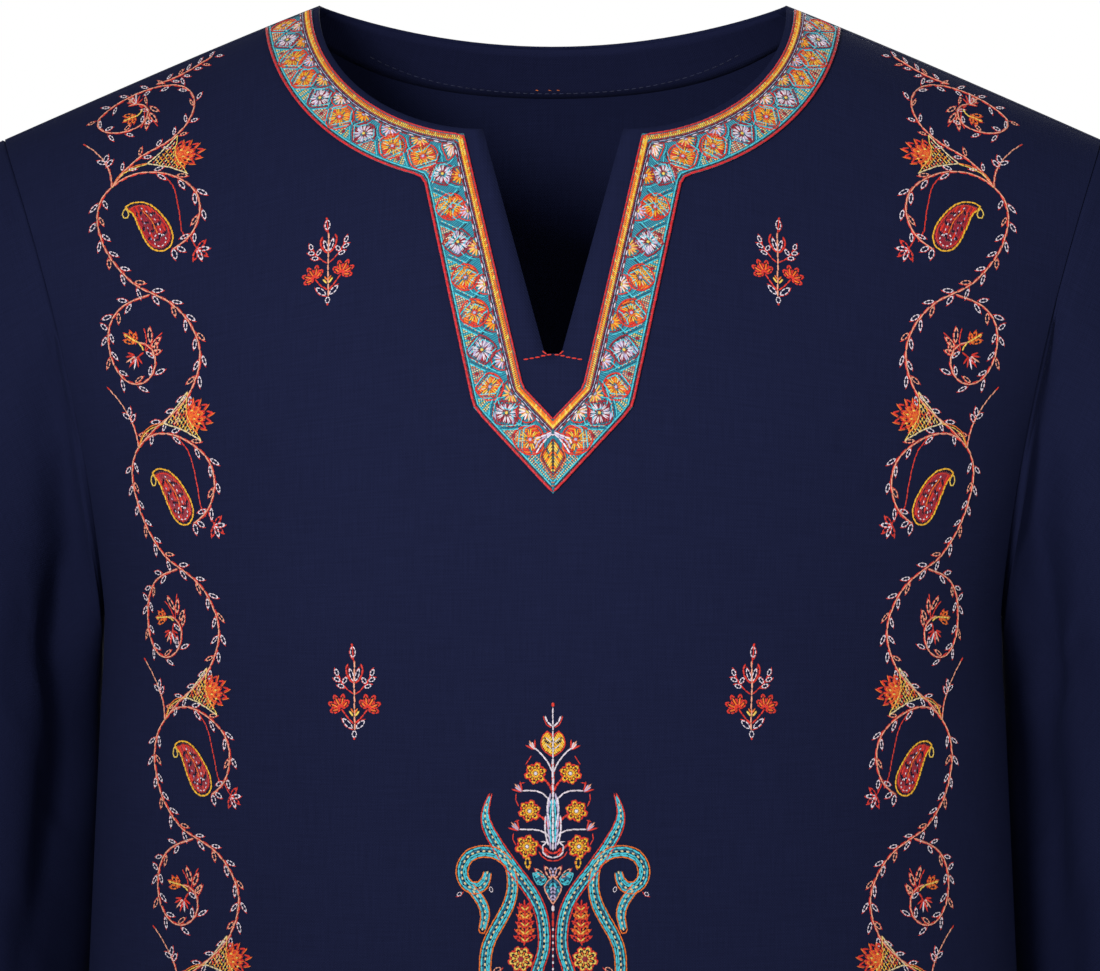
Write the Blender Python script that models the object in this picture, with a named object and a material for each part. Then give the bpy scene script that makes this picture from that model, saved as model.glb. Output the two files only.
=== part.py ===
"""Long-sleeved kurta tunic with a mitred neck border, filled out as if worn.

Metres, +Z up, the front faces -Y and the wearer's left is +X.  The origin is the middle of the
neck opening, level with the high points of the shoulders, where the garment hangs on its wearer.

Body and neck pieces all lie on one cloth surface.  A place on it is (x, turn).  turn runs from
the front hem (negative, metres below the underarm) up the front, over the shoulder ridge as an
angle from 0 to pi, and down the back (pi plus metres below the underarm).
"""
import math

import bmesh
import bpy

MM = 0.001

# Driving sizes of the garment
NECK_HALF = 97.5 * MM          # high neck point, from the middle
TIP_HALF = 229 * MM            # shoulder tip, where the sleeve is set
CHEST_HALF = 187 * MM          # side of the body at the underarm
UNDERARM = -255 * MM           # height of the underarm
BODY_DROP = 585 * MM           # underarm to hem
HEM_FLARE = 26 * MM            # how far each side runs out by the hem
RIDGE_Y = 8 * MM               # depth of the shoulder ridge and side seams
CHEST_FRONT = 135 * MM         # ridge plane to the middle of the chest
CHEST_BACK = 115 * MM
FRONT_FALL = 8 * MM            # how far the front falls back by the hem
BACK_HOLLOW = 9 * MM           # small of the back
SHOULDER_SLOPE = 0.458
NECK_EASE = 60 * MM            # how softly the shoulder line levels off inside the neck
ACROSS_POWER = 2.2             # roundness of the body in plan
OVER_POWER = 1.68              # roundness over the shoulder
HUG = 0.2                      # how far round the armhole seam sits from the side

# Openings
SLIT_TOP = (28.5 * MM, -56 * MM)
SLIT_FOOT = (3.3 * MM, -148 * MM)
NECK_DROP_BACK = 14 * MM
VENT = 170 * MM                # side vent, up from the hem
VENT_SPREAD = 10 * MM          # half the vent's gap at the hem

# Cloth
CLOTH = 1.6 * MM
BORDER_CLOTH = 1.1 * MM
FACING_CLOTH = 1.0 * MM
SEAM_GAP = 0.4 * MM
LAY_GAP = 0.6 * MM
SEAM_FORWARD = 0.12            # shoulder seam, radians in front of the ridge
FACING_DEEP = 21 * MM

# Mesh fineness
FRONT_COLUMNS = 12
BACK_COLUMNS = 11
HEM_ROWS = 11

for old in list(bpy.data.objects):
    bpy.data.objects.remove(old, do_unlink=True)


def ridge_height(x):
    """Height of the shoulder line at x."""
    ease = math.hypot(x, NECK_EASE) - math.hypot(NECK_HALF, NECK_EASE)
    return -SHOULDER_SLOPE * ease


def rise_at(turn):
    return math.sin(min(max(turn, 0.0), math.pi)) ** (2 / OVER_POWER)


def drop_at(turn):
    return max(-turn, turn - math.pi, 0.0)


def hug_at(turn):
    return 1 - HUG * rise_at(turn) ** 1.4


def reach_at(turn):
    """Half width of the body: its side seam, or its armhole seam above the underarm."""
    flare = HEM_FLARE * drop_at(turn) / BODY_DROP
    return CHEST_HALF + flare + (TIP_HALF - CHEST_HALF) * rise_at(turn) ** 1.6


def cloth_point(x, turn):
    """The point of the cloth's outer face at x and turn."""
    rise = rise_at(turn)
    drop = drop_at(turn)
    lean = min(max(turn, 0.0), math.pi)
    depth = abs(math.cos(lean)) ** (2 / OVER_POWER)
    round_ = min(abs(x) * hug_at(turn) / reach_at(turn), 1.0)
    across = (1 - round_ ** ACROSS_POWER) ** (1 / ACROSS_POWER)
    down = min(drop / BODY_DROP, 1.0)
    height = UNDERARM - drop + rise * (ridge_height(x) - UNDERARM)
    if lean < math.pi / 2:
        front = CHEST_FRONT - FRONT_FALL * (1 - math.cos(math.pi * down)) / 2
        return x, RIDGE_Y - front * across * depth, height
    back = CHEST_BACK - BACK_HOLLOW * math.sin(math.pi * down) ** 2
    return x, RIDGE_Y + back * across * depth, height


def cloth_normal(x, turn):
    """The outward direction at x and turn, from its neighbours."""
    step = 1.5 * MM if drop_at(turn) > 0 else 0.012
    turns = (turn - step, turn + step)
    if 0 <= turn <= 0.3:
        turns = (turn, turn + 0.06)
    if math.pi - 0.3 <= turn <= math.pi:
        turns = (turn - 0.06, turn)
    side = (cloth_point(x - 1 * MM, turn), cloth_point(x + 1 * MM, turn))
    rise = (cloth_point(x, turns[0]), cloth_point(x, turns[1]))
    a = [side[1][i] - side[0][i] for i in range(3)]
    b = [rise[1][i] - rise[0][i] for i in range(3)]
    n = (a[1] * b[2] - a[2] * b[1], a[2] * b[0] - a[0] * b[2], a[0] * b[1] - a[1] * b[0])
    long = math.sqrt(sum(v * v for v in n))
    return tuple(v / long for v in n)


def turn_of(x, height, back=False):
    """The turn at which the cloth passes x and height."""
    if height < UNDERARM:
        turn = height - UNDERARM
    else:
        rise = min((height - UNDERARM) / (ridge_height(x) - UNDERARM), 1.0)
        turn = math.asin(rise ** (OVER_POWER / 2))
    return math.pi - turn if back else turn


def neck_edge(angle, out=0.0):
    """A point of the front neckline, from the slit's corner (0) to the shoulder (pi/2)."""
    wide = NECK_HALF - SLIT_TOP[0]
    deep = -SLIT_TOP[1]
    nx, nz = math.sin(angle) / wide, -math.cos(angle) / deep
    long = math.hypot(nx, nz)
    x = SLIT_TOP[0] + wide * math.sin(angle) + out * nx / long
    return x, -deep * math.cos(angle) + out * nz / long


def back_neck(x):
    return -NECK_DROP_BACK * (1 - (x / NECK_HALF) ** 2)


def shoulder_angle(out):
    """The neckline angle at which its parallel, out from the edge, meets the shoulder seam."""
    low, high = 0.6, math.pi / 2
    for _ in range(40):
        middle = (low + high) / 2
        x, height = neck_edge(middle, out)
        if height < ridge_height(x) and turn_of(x, height) < math.pi / 2 - SEAM_FORWARD:
            low = middle
        else:
            high = middle
    return low


def material(name, colour, roughness):
    """A plain cloth material."""
    cloth = bpy.data.materials.new(name)
    cloth.use_nodes = True
    shader = cloth.node_tree.nodes["Principled BSDF"]
    shader.inputs["Base Color"].default_value = (*colour, 1)
    shader.inputs["Roughness"].default_value = roughness
    shader.inputs["Metallic"].default_value = 0.0
    return cloth


def cloth_object(name, points, faces, thick, finish, inward=True):
    """A sheet of points and faces, given its thickness."""
    mesh = bpy.data.meshes.new(name)
    mesh.from_pydata(points, [], faces)
    shape = bmesh.new()
    shape.from_mesh(mesh)
    bmesh.ops.triangulate(shape, faces=shape.faces[:])
    shape.to_mesh(mesh)
    shape.free()
    mesh.shade_smooth()
    mesh.materials.append(finish)
    piece = bpy.data.objects.new(name, mesh)
    bpy.context.collection.objects.link(piece)
    wall = piece.modifiers.new("wall", "SOLIDIFY")
    wall.thickness = thick
    wall.offset = -1.0 if inward else 1.0
    wall.use_even_offset = True
    return piece


def panel(name, rows, columns, shift, finish):
    """A body panel of both halves.  A row is (turn, inner x, vent gap, joined at the middle)."""
    points = []
    index = {}

    def place(row, column, side):
        turn, inner, vent, joined = rows[row]
        if column < 0:
            if not joined:
                return None
            x = 0.0
        else:
            hug = hug_at(turn)
            reach = reach_at(turn)
            start = math.asin(min(inner * hug / reach, 1.0) ** (ACROSS_POWER / 2))
            seam = (1 - (vent / CHEST_BACK) ** ACROSS_POWER) ** (1 / ACROSS_POWER)
            end = math.asin((seam * hug) ** (ACROSS_POWER / 2))
            spot = math.sin(start + (end - start) * column / columns)
            x = spot ** (2 / ACROSS_POWER) * reach / hug
        if x < 1e-9:
            side = 1
        key = (row, column, side)
        if key not in index:
            px, py, pz = cloth_point(x, turn)
            index[key] = len(points)
            points.append((px * side, py + shift, pz))
        return index[key]

    faces = []
    facing = 1 if rows[1][0] > rows[0][0] else -1
    for row in range(len(rows) - 1):
        for column in range(-1, columns):
            for side in (1, -1):
                loop = [place(row, column, side), place(row, column + 1, side),
                        place(row + 1, column + 1, side), place(row + 1, column, side)]
                loop = [p for i, p in enumerate(loop) if p is None or p != loop[i - 1]]
                if None in loop or len(loop) < 3:
                    continue
                faces.append(loop if side == facing else loop[::-1])
    return cloth_object(name, points, faces, CLOTH, finish)


def hem_rows(back):
    """The rows from the hem up to just below the underarm."""
    rows = []
    for row in range(HEM_ROWS):
        drop = BODY_DROP * (1 - row / HEM_ROWS)
        vent = VENT_SPREAD * max((drop - BODY_DROP + VENT) / VENT, 0.0) ** 1.5
        rows.append((math.pi + drop if back else -drop, vent))
    return rows


def front_rows():
    """The front's rows: hem, chest, slit, neckline, shoulder seam."""
    rows = [(turn, SLIT_FOOT[0], vent, True) for turn, vent in hem_rows(False)]
    foot = turn_of(*SLIT_FOOT)
    rows += [(foot * step / 6, SLIT_FOOT[0], 0.0, True) for step in range(7)]
    for step in range(1, 6):
        share = step / 6
        x = SLIT_FOOT[0] + (SLIT_TOP[0] - SLIT_FOOT[0]) * share
        height = SLIT_FOOT[1] + (SLIT_TOP[1] - SLIT_FOOT[1]) * share
        rows.append((turn_of(x, height), x, 0.0, False))
    last = shoulder_angle(0.0)
    for step in range(11):
        x, height = neck_edge(last * math.sin(math.pi / 2 * step / 10))
        rows.append((turn_of(x, height), x, 0.0, False))
    return rows


def back_rows():
    """The back's rows: hem, shoulder blades, neckline, over the ridge to the seam."""
    rows = [(turn, 0.0, vent, True) for turn, vent in hem_rows(True)]
    middle = turn_of(0.0, back_neck(0.0), True)
    rows += [(math.pi + (middle - math.pi) * step / 8, 0.0, 0.0, True) for step in range(9)]
    for x in (24 * MM, 42 * MM, 57 * MM, 70 * MM, 81 * MM, 90 * MM):
        rows.append((turn_of(x, back_neck(x), True), x, 0.0, False))
    last = neck_edge(shoulder_angle(0.0))
    for share in (0.0, 0.6, 1.0):
        x = NECK_HALF + (last[0] - NECK_HALF) * share
        rows.append((math.pi / 2 - SEAM_FORWARD * share, x, 0.0, False))
    return rows


def strip(name, inner, outer, across, lift, thick, finish, back=False):
    """A strip on the cloth between two lines of (x, height), mirrored at the middle."""
    right = []
    for (x0, z0), (x1, z1) in zip(inner, outer):
        right.append([(x0 + (x1 - x0) * k / across, z0 + (z1 - z0) * k / across)
                      for k in range(across + 1)])
    lines = right + [[(-x, z) for x, z in line] for line in right[-2::-1]]
    shift = SEAM_GAP / 2 if back else -SEAM_GAP / 2
    points = []
    for line in lines:
        for x, height in line:
            turn = turn_of(abs(x), min(height, ridge_height(x)), back)
            px, py, pz = cloth_point(abs(x), turn)
            nx, ny, nz = cloth_normal(abs(x), turn)
            flip = -1 if x < 0 else 1
            points.append((flip * (px + nx * lift), py + shift + ny * lift, pz + nz * lift))
    faces = []
    for i in range(len(lines) - 1):
        for k in range(across):
            a = i * (across + 1) + k
            faces.append((a, a + 1, a + across + 2, a + across + 1))
    if not back:
        faces = [face[::-1] for face in faces]
    return cloth_object(name, points, faces, thick, finish, inward=lift < 0)


def spaced(start, end, count):
    """Points after start, up to and with end."""
    return [(start[0] + (end[0] - start[0]) * k / count,
             start[1] + (end[1] - start[1]) * k / count) for k in range(1, count + 1)]


NAVY = (0.0125, 0.0155, 0.046)
navy = material("navy_cotton", NAVY, 0.85)
navy_inside = material("navy_facing", (0.010, 0.012, 0.036), 0.88)
turquoise = material("embroidered_border", (0.03, 0.24, 0.30), 0.6)

# Front and back
panel("front_panel", front_rows(), FRONT_COLUMNS, -SEAM_GAP / 2, navy)
back_panel = panel("back_panel", back_rows(), BACK_COLUMNS, SEAM_GAP / 2, navy)

# The embroidered border: parallel to the neckline, mitred at the slit's corner, pointed below it
BORDER_INNER = 2.8 * MM
BORDER_OUTER = 22.5 * MM
INNER_CORNER = (36 * MM, -58.2 * MM)
INNER_FOOT = (11.8 * MM, -161.5 * MM)
INNER_TIP = (0.0, -174 * MM)
OUTER_CORNER = (51.9 * MM, -77 * MM)
OUTER_FOOT = (31.6 * MM, -169.8 * MM)
OUTER_TIP = (0.0, -204 * MM)
NECK_STEPS = 12


def neck_line(out, corner):
    """A parallel of the neckline from the shoulder seam to its mitre."""
    high = shoulder_angle(out)
    low = math.asin(max(corner[0] - SLIT_TOP[0], 0.0) / (NECK_HALF - SLIT_TOP[0] + out))
    line = [neck_edge(high + (low - high) * k / NECK_STEPS, out) for k in range(NECK_STEPS)]
    return line + [corner]


inner_line = neck_line(BORDER_INNER, INNER_CORNER)
outer_line = neck_line(BORDER_OUTER, OUTER_CORNER)
for inner_end, outer_end, count in ((INNER_FOOT, OUTER_FOOT, 8), (INNER_TIP, OUTER_TIP, 3)):
    inner_line += spaced(inner_line[-1], inner_end, count)
    outer_line += spaced(outer_line[-1], outer_end, count)
strip("neck_border", inner_line, outer_line, 3, LAY_GAP, BORDER_CLOTH, turquoise)

# The back neck facing, inside the back
facing_x = [(NECK_HALF - 3 * MM) * math.cos(math.pi / 2 * k / 8) for k in range(9)]
facing_top = [(x, back_neck(x) - 0.8 * MM) for x in facing_x]
facing_foot = [(x * 1.13, back_neck(x) - FACING_DEEP * (1 - 0.75 * (x / NECK_HALF) ** 4))
               for x in facing_x]
facing_foot = [(x, min(z, ridge_height(x) - 4 * MM)) for x, z in facing_foot]
strip("back_neck_facing", facing_top, facing_foot, 2, -CLOTH - LAY_GAP - 0.35 * MM,
      FACING_CLOTH, navy_inside, back=True)

# Sleeves: rings from the armhole to the cuff.  Each row gives the ring's outer and inner
# points, its front and back, and how far the ring has left the armhole's own outline.
SLEEVE_ROWS = (
    # top x, top height, under x, under height, front y, back y, own shape
    (229.6, -56.3, 187.9, -255.4, -40, 56, 0.00),
    (240, -62, 188.2, -263, -36, 62, 0.10),
    (256, -72.5, 188.8, -272, -34, 76, 0.40),
    (276, -94, 189.2, -286, -33, 90, 0.75),
    (291, -125, 189.6, -304, -33, 98, 1.00),
    (301, -165, 189.6, -328, -32, 101, 1.00),
    (308, -215, 190.6, -358, -32, 102, 1.00),
    (314, -275, 192.4, -396, -31, 100, 1.00),
    (320, -345, 197.5, -440, -30, 96, 1.00),
    (326, -420, 206, -492, -28, 89, 1.00),
    (331, -500, 216, -548, -27, 81, 1.00),
    (335, -575, 227, -600, -26, 74, 1.00),
    (337, -628, 236, -638, -25, 69, 1.00),
)
RING_POINTS = 24


def sleeve_ring(row, side):
    """One ring of a sleeve, from the underarm round the front to the back."""
    top_x, top_z, under_x, under_z, front, back, own = SLEEVE_ROWS[row]
    first = SLEEVE_ROWS[0]
    ring = []
    for k in range(RING_POINTS):
        angle = 2 * math.pi * k / RING_POINTS
        turn = angle / 2
        x, y, z = cloth_point(reach_at(turn), turn)
        outer = (1 - math.cos(angle)) / 2
        slide_x = (under_x - first[2]) * (1 - outer) + (top_x - first[0]) * outer
        slide_z = (under_z - first[3]) * (1 - outer) + (top_z - first[1]) * outer
        middle = (front + back) / 2
        half = (back - front) / 2
        oval = (((under_x + top_x) - (top_x - under_x) * math.cos(angle)) / 2 * MM,
                (middle - half * math.sin(angle)) * MM,
                ((under_z + top_z) - (top_z - under_z) * math.cos(angle)) / 2 * MM)
        hole = (x + SEAM_GAP + slide_x * MM, y + (middle - 8) * MM * own, z + slide_z * MM)
        spot = [a + (b - a) * own for a, b in zip(hole, oval)]
        ring.append((spot[0] * side, spot[1], spot[2]))
    return ring


def sleeve(name, side, finish):
    rings = [sleeve_ring(row, side) for row in range(len(SLEEVE_ROWS))]
    points = [spot for ring in rings for spot in ring]
    faces = []
    for row in range(len(rings) - 1):
        for k in range(RING_POINTS):
            a = row * RING_POINTS + k
            b = row * RING_POINTS + (k + 1) % RING_POINTS
            loop = (a, b, b + RING_POINTS, a + RING_POINTS)
            faces.append(loop if side < 0 else loop[::-1])
    return cloth_object(name, points, faces, CLOTH, finish)


sleeve("sleeve_left", 1, navy)
sleeve("sleeve_right", -1, navy)
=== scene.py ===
"""Looks of a long-sleeved navy kurta tunic with an embroidered split neck and front.

The frame is the CAD's: metres, +Z up, the front faces -Y and the wearer's left is +X.
"""
import math

import bmesh
import bpy
import numpy as np
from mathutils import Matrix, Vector


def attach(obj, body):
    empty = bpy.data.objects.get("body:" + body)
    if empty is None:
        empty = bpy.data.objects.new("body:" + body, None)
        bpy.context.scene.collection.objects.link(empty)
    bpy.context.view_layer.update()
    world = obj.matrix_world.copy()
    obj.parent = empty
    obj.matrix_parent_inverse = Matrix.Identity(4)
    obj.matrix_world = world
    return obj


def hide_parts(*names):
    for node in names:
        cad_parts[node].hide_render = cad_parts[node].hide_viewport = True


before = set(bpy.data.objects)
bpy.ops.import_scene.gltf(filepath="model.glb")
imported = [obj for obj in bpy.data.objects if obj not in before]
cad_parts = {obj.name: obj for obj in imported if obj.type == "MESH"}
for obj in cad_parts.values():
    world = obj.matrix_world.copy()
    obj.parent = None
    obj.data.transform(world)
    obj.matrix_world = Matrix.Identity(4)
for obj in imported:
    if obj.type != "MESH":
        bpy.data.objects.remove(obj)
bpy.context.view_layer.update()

# ---- Front panel ----
# Fine plain-woven navy cotton, cut in one piece from hem to shoulder seams with the neckline and
# the centre slit cut in.  Sewn to the back at sides and shoulders, and open in side vents below.
MM = 0.001
NECK_HALF = 97.5 * MM
TIP_HALF = 229 * MM
CHEST_HALF = 187 * MM
UNDERARM = -255 * MM
BODY_DROP = 585 * MM
HEM_FLARE = 26 * MM
RIDGE_Y = 8 * MM
CHEST_FRONT = 135 * MM
CHEST_BACK = 115 * MM
FRONT_FALL = 8 * MM
BACK_HOLLOW = 9 * MM
SHOULDER_SLOPE = 0.458
NECK_EASE = 60 * MM
ACROSS_POWER = 2.2
OVER_POWER = 1.68
HUG = 0.2
SLIT_TOP = (28.5 * MM, -56 * MM)
SLIT_FOOT = (3.3 * MM, -148 * MM)
VENT = 170 * MM
VENT_SPREAD = 10 * MM
SEAM_FORWARD = 0.12
SEAM_TURN = math.pi / 2 - SEAM_FORWARD
COTTON_THICK = 0.9 * MM


def ridge(x):
    """Height of the shoulder line."""
    return -SHOULDER_SLOPE * (np.hypot(x, NECK_EASE) - math.hypot(NECK_HALF, NECK_EASE))


def rise_of(turn):
    return np.abs(np.sin(np.clip(turn, 0, math.pi))) ** (2 / OVER_POWER)


def drop_of(turn):
    return np.maximum(np.maximum(-turn, turn - math.pi), 0)


def hug_of(turn):
    return 1 - HUG * rise_of(turn) ** 1.4


def reach_of(turn):
    """Half width of the body at its side or armhole seam."""
    flare = HEM_FLARE * drop_of(turn) / BODY_DROP
    return CHEST_HALF + flare + (TIP_HALF - CHEST_HALF) * rise_of(turn) ** 1.6


def body_form(x, turn):
    """The filled-out cloth without its creases, at x and turn (front hem, over the ridge, back hem)."""
    x, turn = np.broadcast_arrays(np.asarray(x, float), np.asarray(turn, float))
    rise, drop = rise_of(turn), drop_of(turn)
    lean = np.clip(turn, 0, math.pi)
    depth = np.abs(np.cos(lean)) ** (2 / OVER_POWER)
    share = np.minimum(np.abs(x) * hug_of(turn) / reach_of(turn), 1)
    across = (1 - share ** ACROSS_POWER) ** (1 / ACROSS_POWER)
    down = np.clip(drop / BODY_DROP, 0, 1)
    front = CHEST_FRONT - FRONT_FALL * (1 - np.cos(math.pi * down)) / 2
    back = CHEST_BACK - BACK_HOLLOW * np.sin(math.pi * down) ** 2
    y = np.where(lean < math.pi / 2, -front, back) * across * depth
    return np.stack([x, RIDGE_Y + y, UNDERARM - drop + rise * (ridge(x) - UNDERARM)], -1)


def unit(vectors):
    return vectors / np.maximum(np.linalg.norm(vectors, axis=-1, keepdims=True), 1e-12)


def run_along(points, axis=0):
    """Length run so far at each point along this axis."""
    steps = np.linalg.norm(np.diff(points, axis=axis), axis=-1).cumsum(axis=-1 if points.ndim > 2 else 0)
    return np.concatenate([np.zeros((*steps.shape[:-1], 1)), steps], axis=-1)


def through(a, b, c, d, t):
    """A smooth line from b to c, with a before and d after."""
    return b + 0.5 * t * (c - a + t * (2 * a - 5 * b + 4 * c - d + t * (3 * (b - c) + d - a)))


def outward(form, x, turn):
    """The cloth's outward direction, from its neighbours."""
    step = np.where(drop_of(turn) > 0, 1.5 * MM, 0.012)
    side = form(x + MM, turn) - form(x - MM, turn)
    return unit(np.cross(side, form(x, turn + step) - form(x, turn - step)))


# Creases pressed by wear, each a line of (x, height) in mm with its half width and its depth.
FRONT_CREASES = (
    (((-186, -262), (-160, -292), (-128, -352), (-112, -388)), 12, 2.0),
    (((188, -268), (158, -300), (131, -334)), 10, 1.5),
    (((-196, -90), (-168, -74), (-140, -52)), 9, 1.2),
    (((150, -50), (174, -72), (203, -96)), 11, 1.0),
    (((-128, -330), (-150, -480), (-146, -620), (-158, -850)), 21, 4.7),
    (((-104, -470), (-112, -640), (-121, -850)), 17, -2.8),
    (((-66, -430), (-74, -590), (-60, -700), (-66, -850)), 26, 3.9),
    (((-14, -560), (-24, -700), (-18, -850)), 19, -3.3),
    (((34, -510), (27, -640), (36, -760), (30, -850)), 22, 3.4),
    (((84, -600), (90, -720), (83, -850)), 17, -3.6),
    (((118, -400), (126, -540), (117, -690), (124, -850)), 24, 4.9),
    (((166, -440), (160, -590), (170, -740), (166, -850)), 15, 2.7),
    (((-178, -420), (-170, -540), (-182, -700)), 13, 2.1),
    (((-52, -640), (8, -668), (70, -652)), 13, 1.7),
    (((-2, -150), (-1, -178)), 3, 0.4),
)


FAR = 9.0
CREASE_FADE = 0.35
HEM_FADE = 0.01
NEAR_HEM = -0.84


def sink(x, z, creases):
    """How far the creases draw the cloth in.  Each fades out at its ends, but not at the hem."""
    total = np.zeros(np.shape(x))
    for line, wide, deep in creases:
        line = np.array(line, float) * MM
        steps = np.linalg.norm(np.diff(line, axis=0), axis=1)
        before = run_along(line)
        near = np.full(np.shape(x), FAR)
        share = np.zeros(np.shape(x))
        for start, end, length, done in zip(line, line[1:], steps, before):
            way = (end - start) / length
            along = np.clip((x - start[0]) * way[0] + (z - start[1]) * way[1], 0, length)
            gap = np.hypot(x - start[0] - along * way[0], z - start[1] - along * way[1])
            closer = gap < near
            near = np.where(closer, gap, near)
            share = np.where(closer, (done + along) / before[-1], share)
        last_fade = CREASE_FADE if line[-1][1] > NEAR_HEM else HEM_FADE
        fade = np.minimum(1, np.minimum(share / CREASE_FADE, (1 - share) / last_fade))
        total += deep * MM * np.exp(-(near / (wide * MM)) ** 2) * np.sin(math.pi / 2 * np.clip(fade, 0, 1))
    return total


SEAM_DITCH = 0.45 * MM
SEAM_DITCH_WIDE = 1.7 * MM
SEAM_EDGE_POWER = 0.55
SEAM_EDGE_REACH = 120


def creased(creases):
    """The body's form with these creases, and a fine ditch along its side and armhole seams."""
    def form(x, turn):
        x, turn = np.broadcast_arrays(np.asarray(x, float), np.asarray(turn, float))
        smooth = body_form(x, turn)
        inside = 1 - np.minimum(np.abs(x) * hug_of(turn) / reach_of(turn), 1)
        edge = inside ** SEAM_EDGE_POWER * SEAM_EDGE_REACH * MM
        ditch = SEAM_DITCH * np.exp(-(edge / SEAM_DITCH_WIDE) ** 2)
        deep = sink(x, smooth[..., 2], creases) + ditch
        return smooth - outward(body_form, x, turn) * deep[..., None]
    return form


front_form = creased(FRONT_CREASES)
COLUMNS = 60
SEAM_SHARES = (0.972, 0.984, 0.993, 0.998, 1.0)
SHARES = np.concatenate([np.linspace(0, 0.958, COLUMNS - len(SEAM_SHARES) + 1), SEAM_SHARES])


def panel(name, form, rows, finish):
    """A body panel.  A row is (turn, inner x, half the vent's gap, joined at the middle)."""
    xs, turns, spots = [], [], {}
    lines = {-1: [], 1: []}
    for number, (turn, inner, vent, joined) in enumerate(rows):
        hug, reach = float(hug_of(turn)), float(reach_of(turn))
        start = math.asin(min(inner * hug / reach, 1.0) ** (ACROSS_POWER / 2))
        seam = (1 - (vent / CHEST_BACK) ** ACROSS_POWER) ** (1 / ACROSS_POWER)
        end = math.asin((seam * hug) ** (ACROSS_POWER / 2))
        half = np.sin(start + (end - start) * SHARES) ** (2 / ACROSS_POWER) * reach / hug
        half[0] = inner
        for side in (-1, 1):
            line = []
            for x in ([0.0] if joined else [None]) + list(half):
                if x is None:
                    line.append(None)
                    continue
                key = (number, round(x * side, 9) + 0.0)
                if key not in spots:
                    spots[key] = len(xs)
                    xs.append(x * side)
                    turns.append(turn)
                line.append(spots[key])
            lines[side].append(line)
    points = form(np.array(xs), np.array(turns))
    flat = np.zeros((len(xs), 2))
    faces = []
    outer_up = 1 if rows[1][0] > rows[0][0] else -1
    for side in (-1, 1):
        down = 0.0
        middle = COLUMNS // 2
        for number, line in enumerate(lines[side]):
            if number:
                down += float(np.linalg.norm(points[line[middle]] - points[lines[side][number - 1][middle]]))
            ids = [p for p in line if p is not None]
            run = abs(xs[ids[0]])
            for place, vertex in enumerate(ids):
                if place:
                    run += float(np.linalg.norm(points[vertex] - points[ids[place - 1]]))
                flat[vertex] = (run * side, down)
        for low, high in zip(lines[side], lines[side][1:]):
            for k in range(len(low) - 1):
                loop = []
                for p in (low[k], low[k + 1], high[k + 1], high[k]):
                    if p not in loop:
                        loop.append(p)
                if None in loop or len(loop) < 3:
                    continue
                faces.append(tuple(loop) if side == outer_up else tuple(loop[::-1]))
    return sewn(name, points, faces, flat, finish, COTTON_THICK)


def sewn(name, points, faces, flat, finish, thick, offset=-1.0):
    """A piece of cloth from its outer face, with its flat coordinates and its thickness."""
    mesh = bpy.data.meshes.new(name)
    mesh.from_pydata(np.asarray(points).tolist(), [], faces)
    uv = mesh.uv_layers.new(name="flat")
    corners = np.zeros(len(mesh.loops), int)
    mesh.loops.foreach_get("vertex_index", corners)
    uv.data.foreach_set("uv", np.asarray(flat)[corners].ravel())
    mesh.shade_smooth()
    mesh.materials.append(finish)
    piece = bpy.data.objects.new(name, mesh)
    bpy.context.collection.objects.link(piece)
    wall = piece.modifiers.new("wall", "SOLIDIFY")
    wall.thickness = thick
    wall.offset = offset
    wall.use_even_offset = True
    return piece


def turn_of(x, height, back=False):
    """The turn at which the cloth passes x and height."""
    x, height = np.broadcast_arrays(np.abs(np.asarray(x, float)), np.asarray(height, float))
    rise = np.clip((height - UNDERARM) / (ridge(x) - UNDERARM), 0, 1)
    turn = np.where(height < UNDERARM, height - UNDERARM, np.arcsin(rise ** (OVER_POWER / 2)))
    return math.pi - turn if back else turn


def neck_edge(angle, out=0.0):
    """A point of the front neckline, from the slit's corner (0) to the shoulder (pi/2)."""
    wide = NECK_HALF - SLIT_TOP[0]
    deep = -SLIT_TOP[1]
    nx, nz = math.sin(angle) / wide, -math.cos(angle) / deep
    long = math.hypot(nx, nz)
    x = SLIT_TOP[0] + wide * math.sin(angle) + out * nx / long
    return x, -deep * math.cos(angle) + out * nz / long


def shoulder_angle(out):
    """The neckline angle at which its parallel, out from the edge, meets the shoulder seam."""
    low, high = 0.6, math.pi / 2
    for _ in range(40):
        middle = (low + high) / 2
        x, height = neck_edge(middle, out)
        if height < ridge(x) and turn_of(x, height) < SEAM_TURN:
            low = middle
        else:
            high = middle
    return low


HEM_ROWS, CHEST_ROWS, SLIT_ROWS, NECK_ROWS = 112, 24, 20, 36


def vent_at(drop):
    return VENT_SPREAD * max((drop - BODY_DROP + VENT) / VENT, 0.0) ** 1.5


front_rows = []
for step in range(HEM_ROWS):
    fall = BODY_DROP * (1 - step / HEM_ROWS)
    front_rows.append((-fall, SLIT_FOOT[0], vent_at(fall), True))
foot_turn = float(turn_of(*SLIT_FOOT))
front_rows += [(foot_turn * (k / CHEST_ROWS) ** 1.15, SLIT_FOOT[0], 0.0, True)
               for k in range(CHEST_ROWS + 1)]
for k in range(1, SLIT_ROWS):
    slit_x = SLIT_FOOT[0] + (SLIT_TOP[0] - SLIT_FOOT[0]) * k / SLIT_ROWS
    slit_z = SLIT_FOOT[1] + (SLIT_TOP[1] - SLIT_FOOT[1]) * k / SLIT_ROWS
    front_rows.append((float(turn_of(slit_x, slit_z)), slit_x, 0.0, False))
last_angle = shoulder_angle(0.0)
for k in range(NECK_ROWS + 1):
    edge_x, edge_z = neck_edge(last_angle * math.sin(math.pi / 2 * k / NECK_ROWS))
    front_rows.append((float(turn_of(edge_x, edge_z)), edge_x, 0.0, False))


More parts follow.
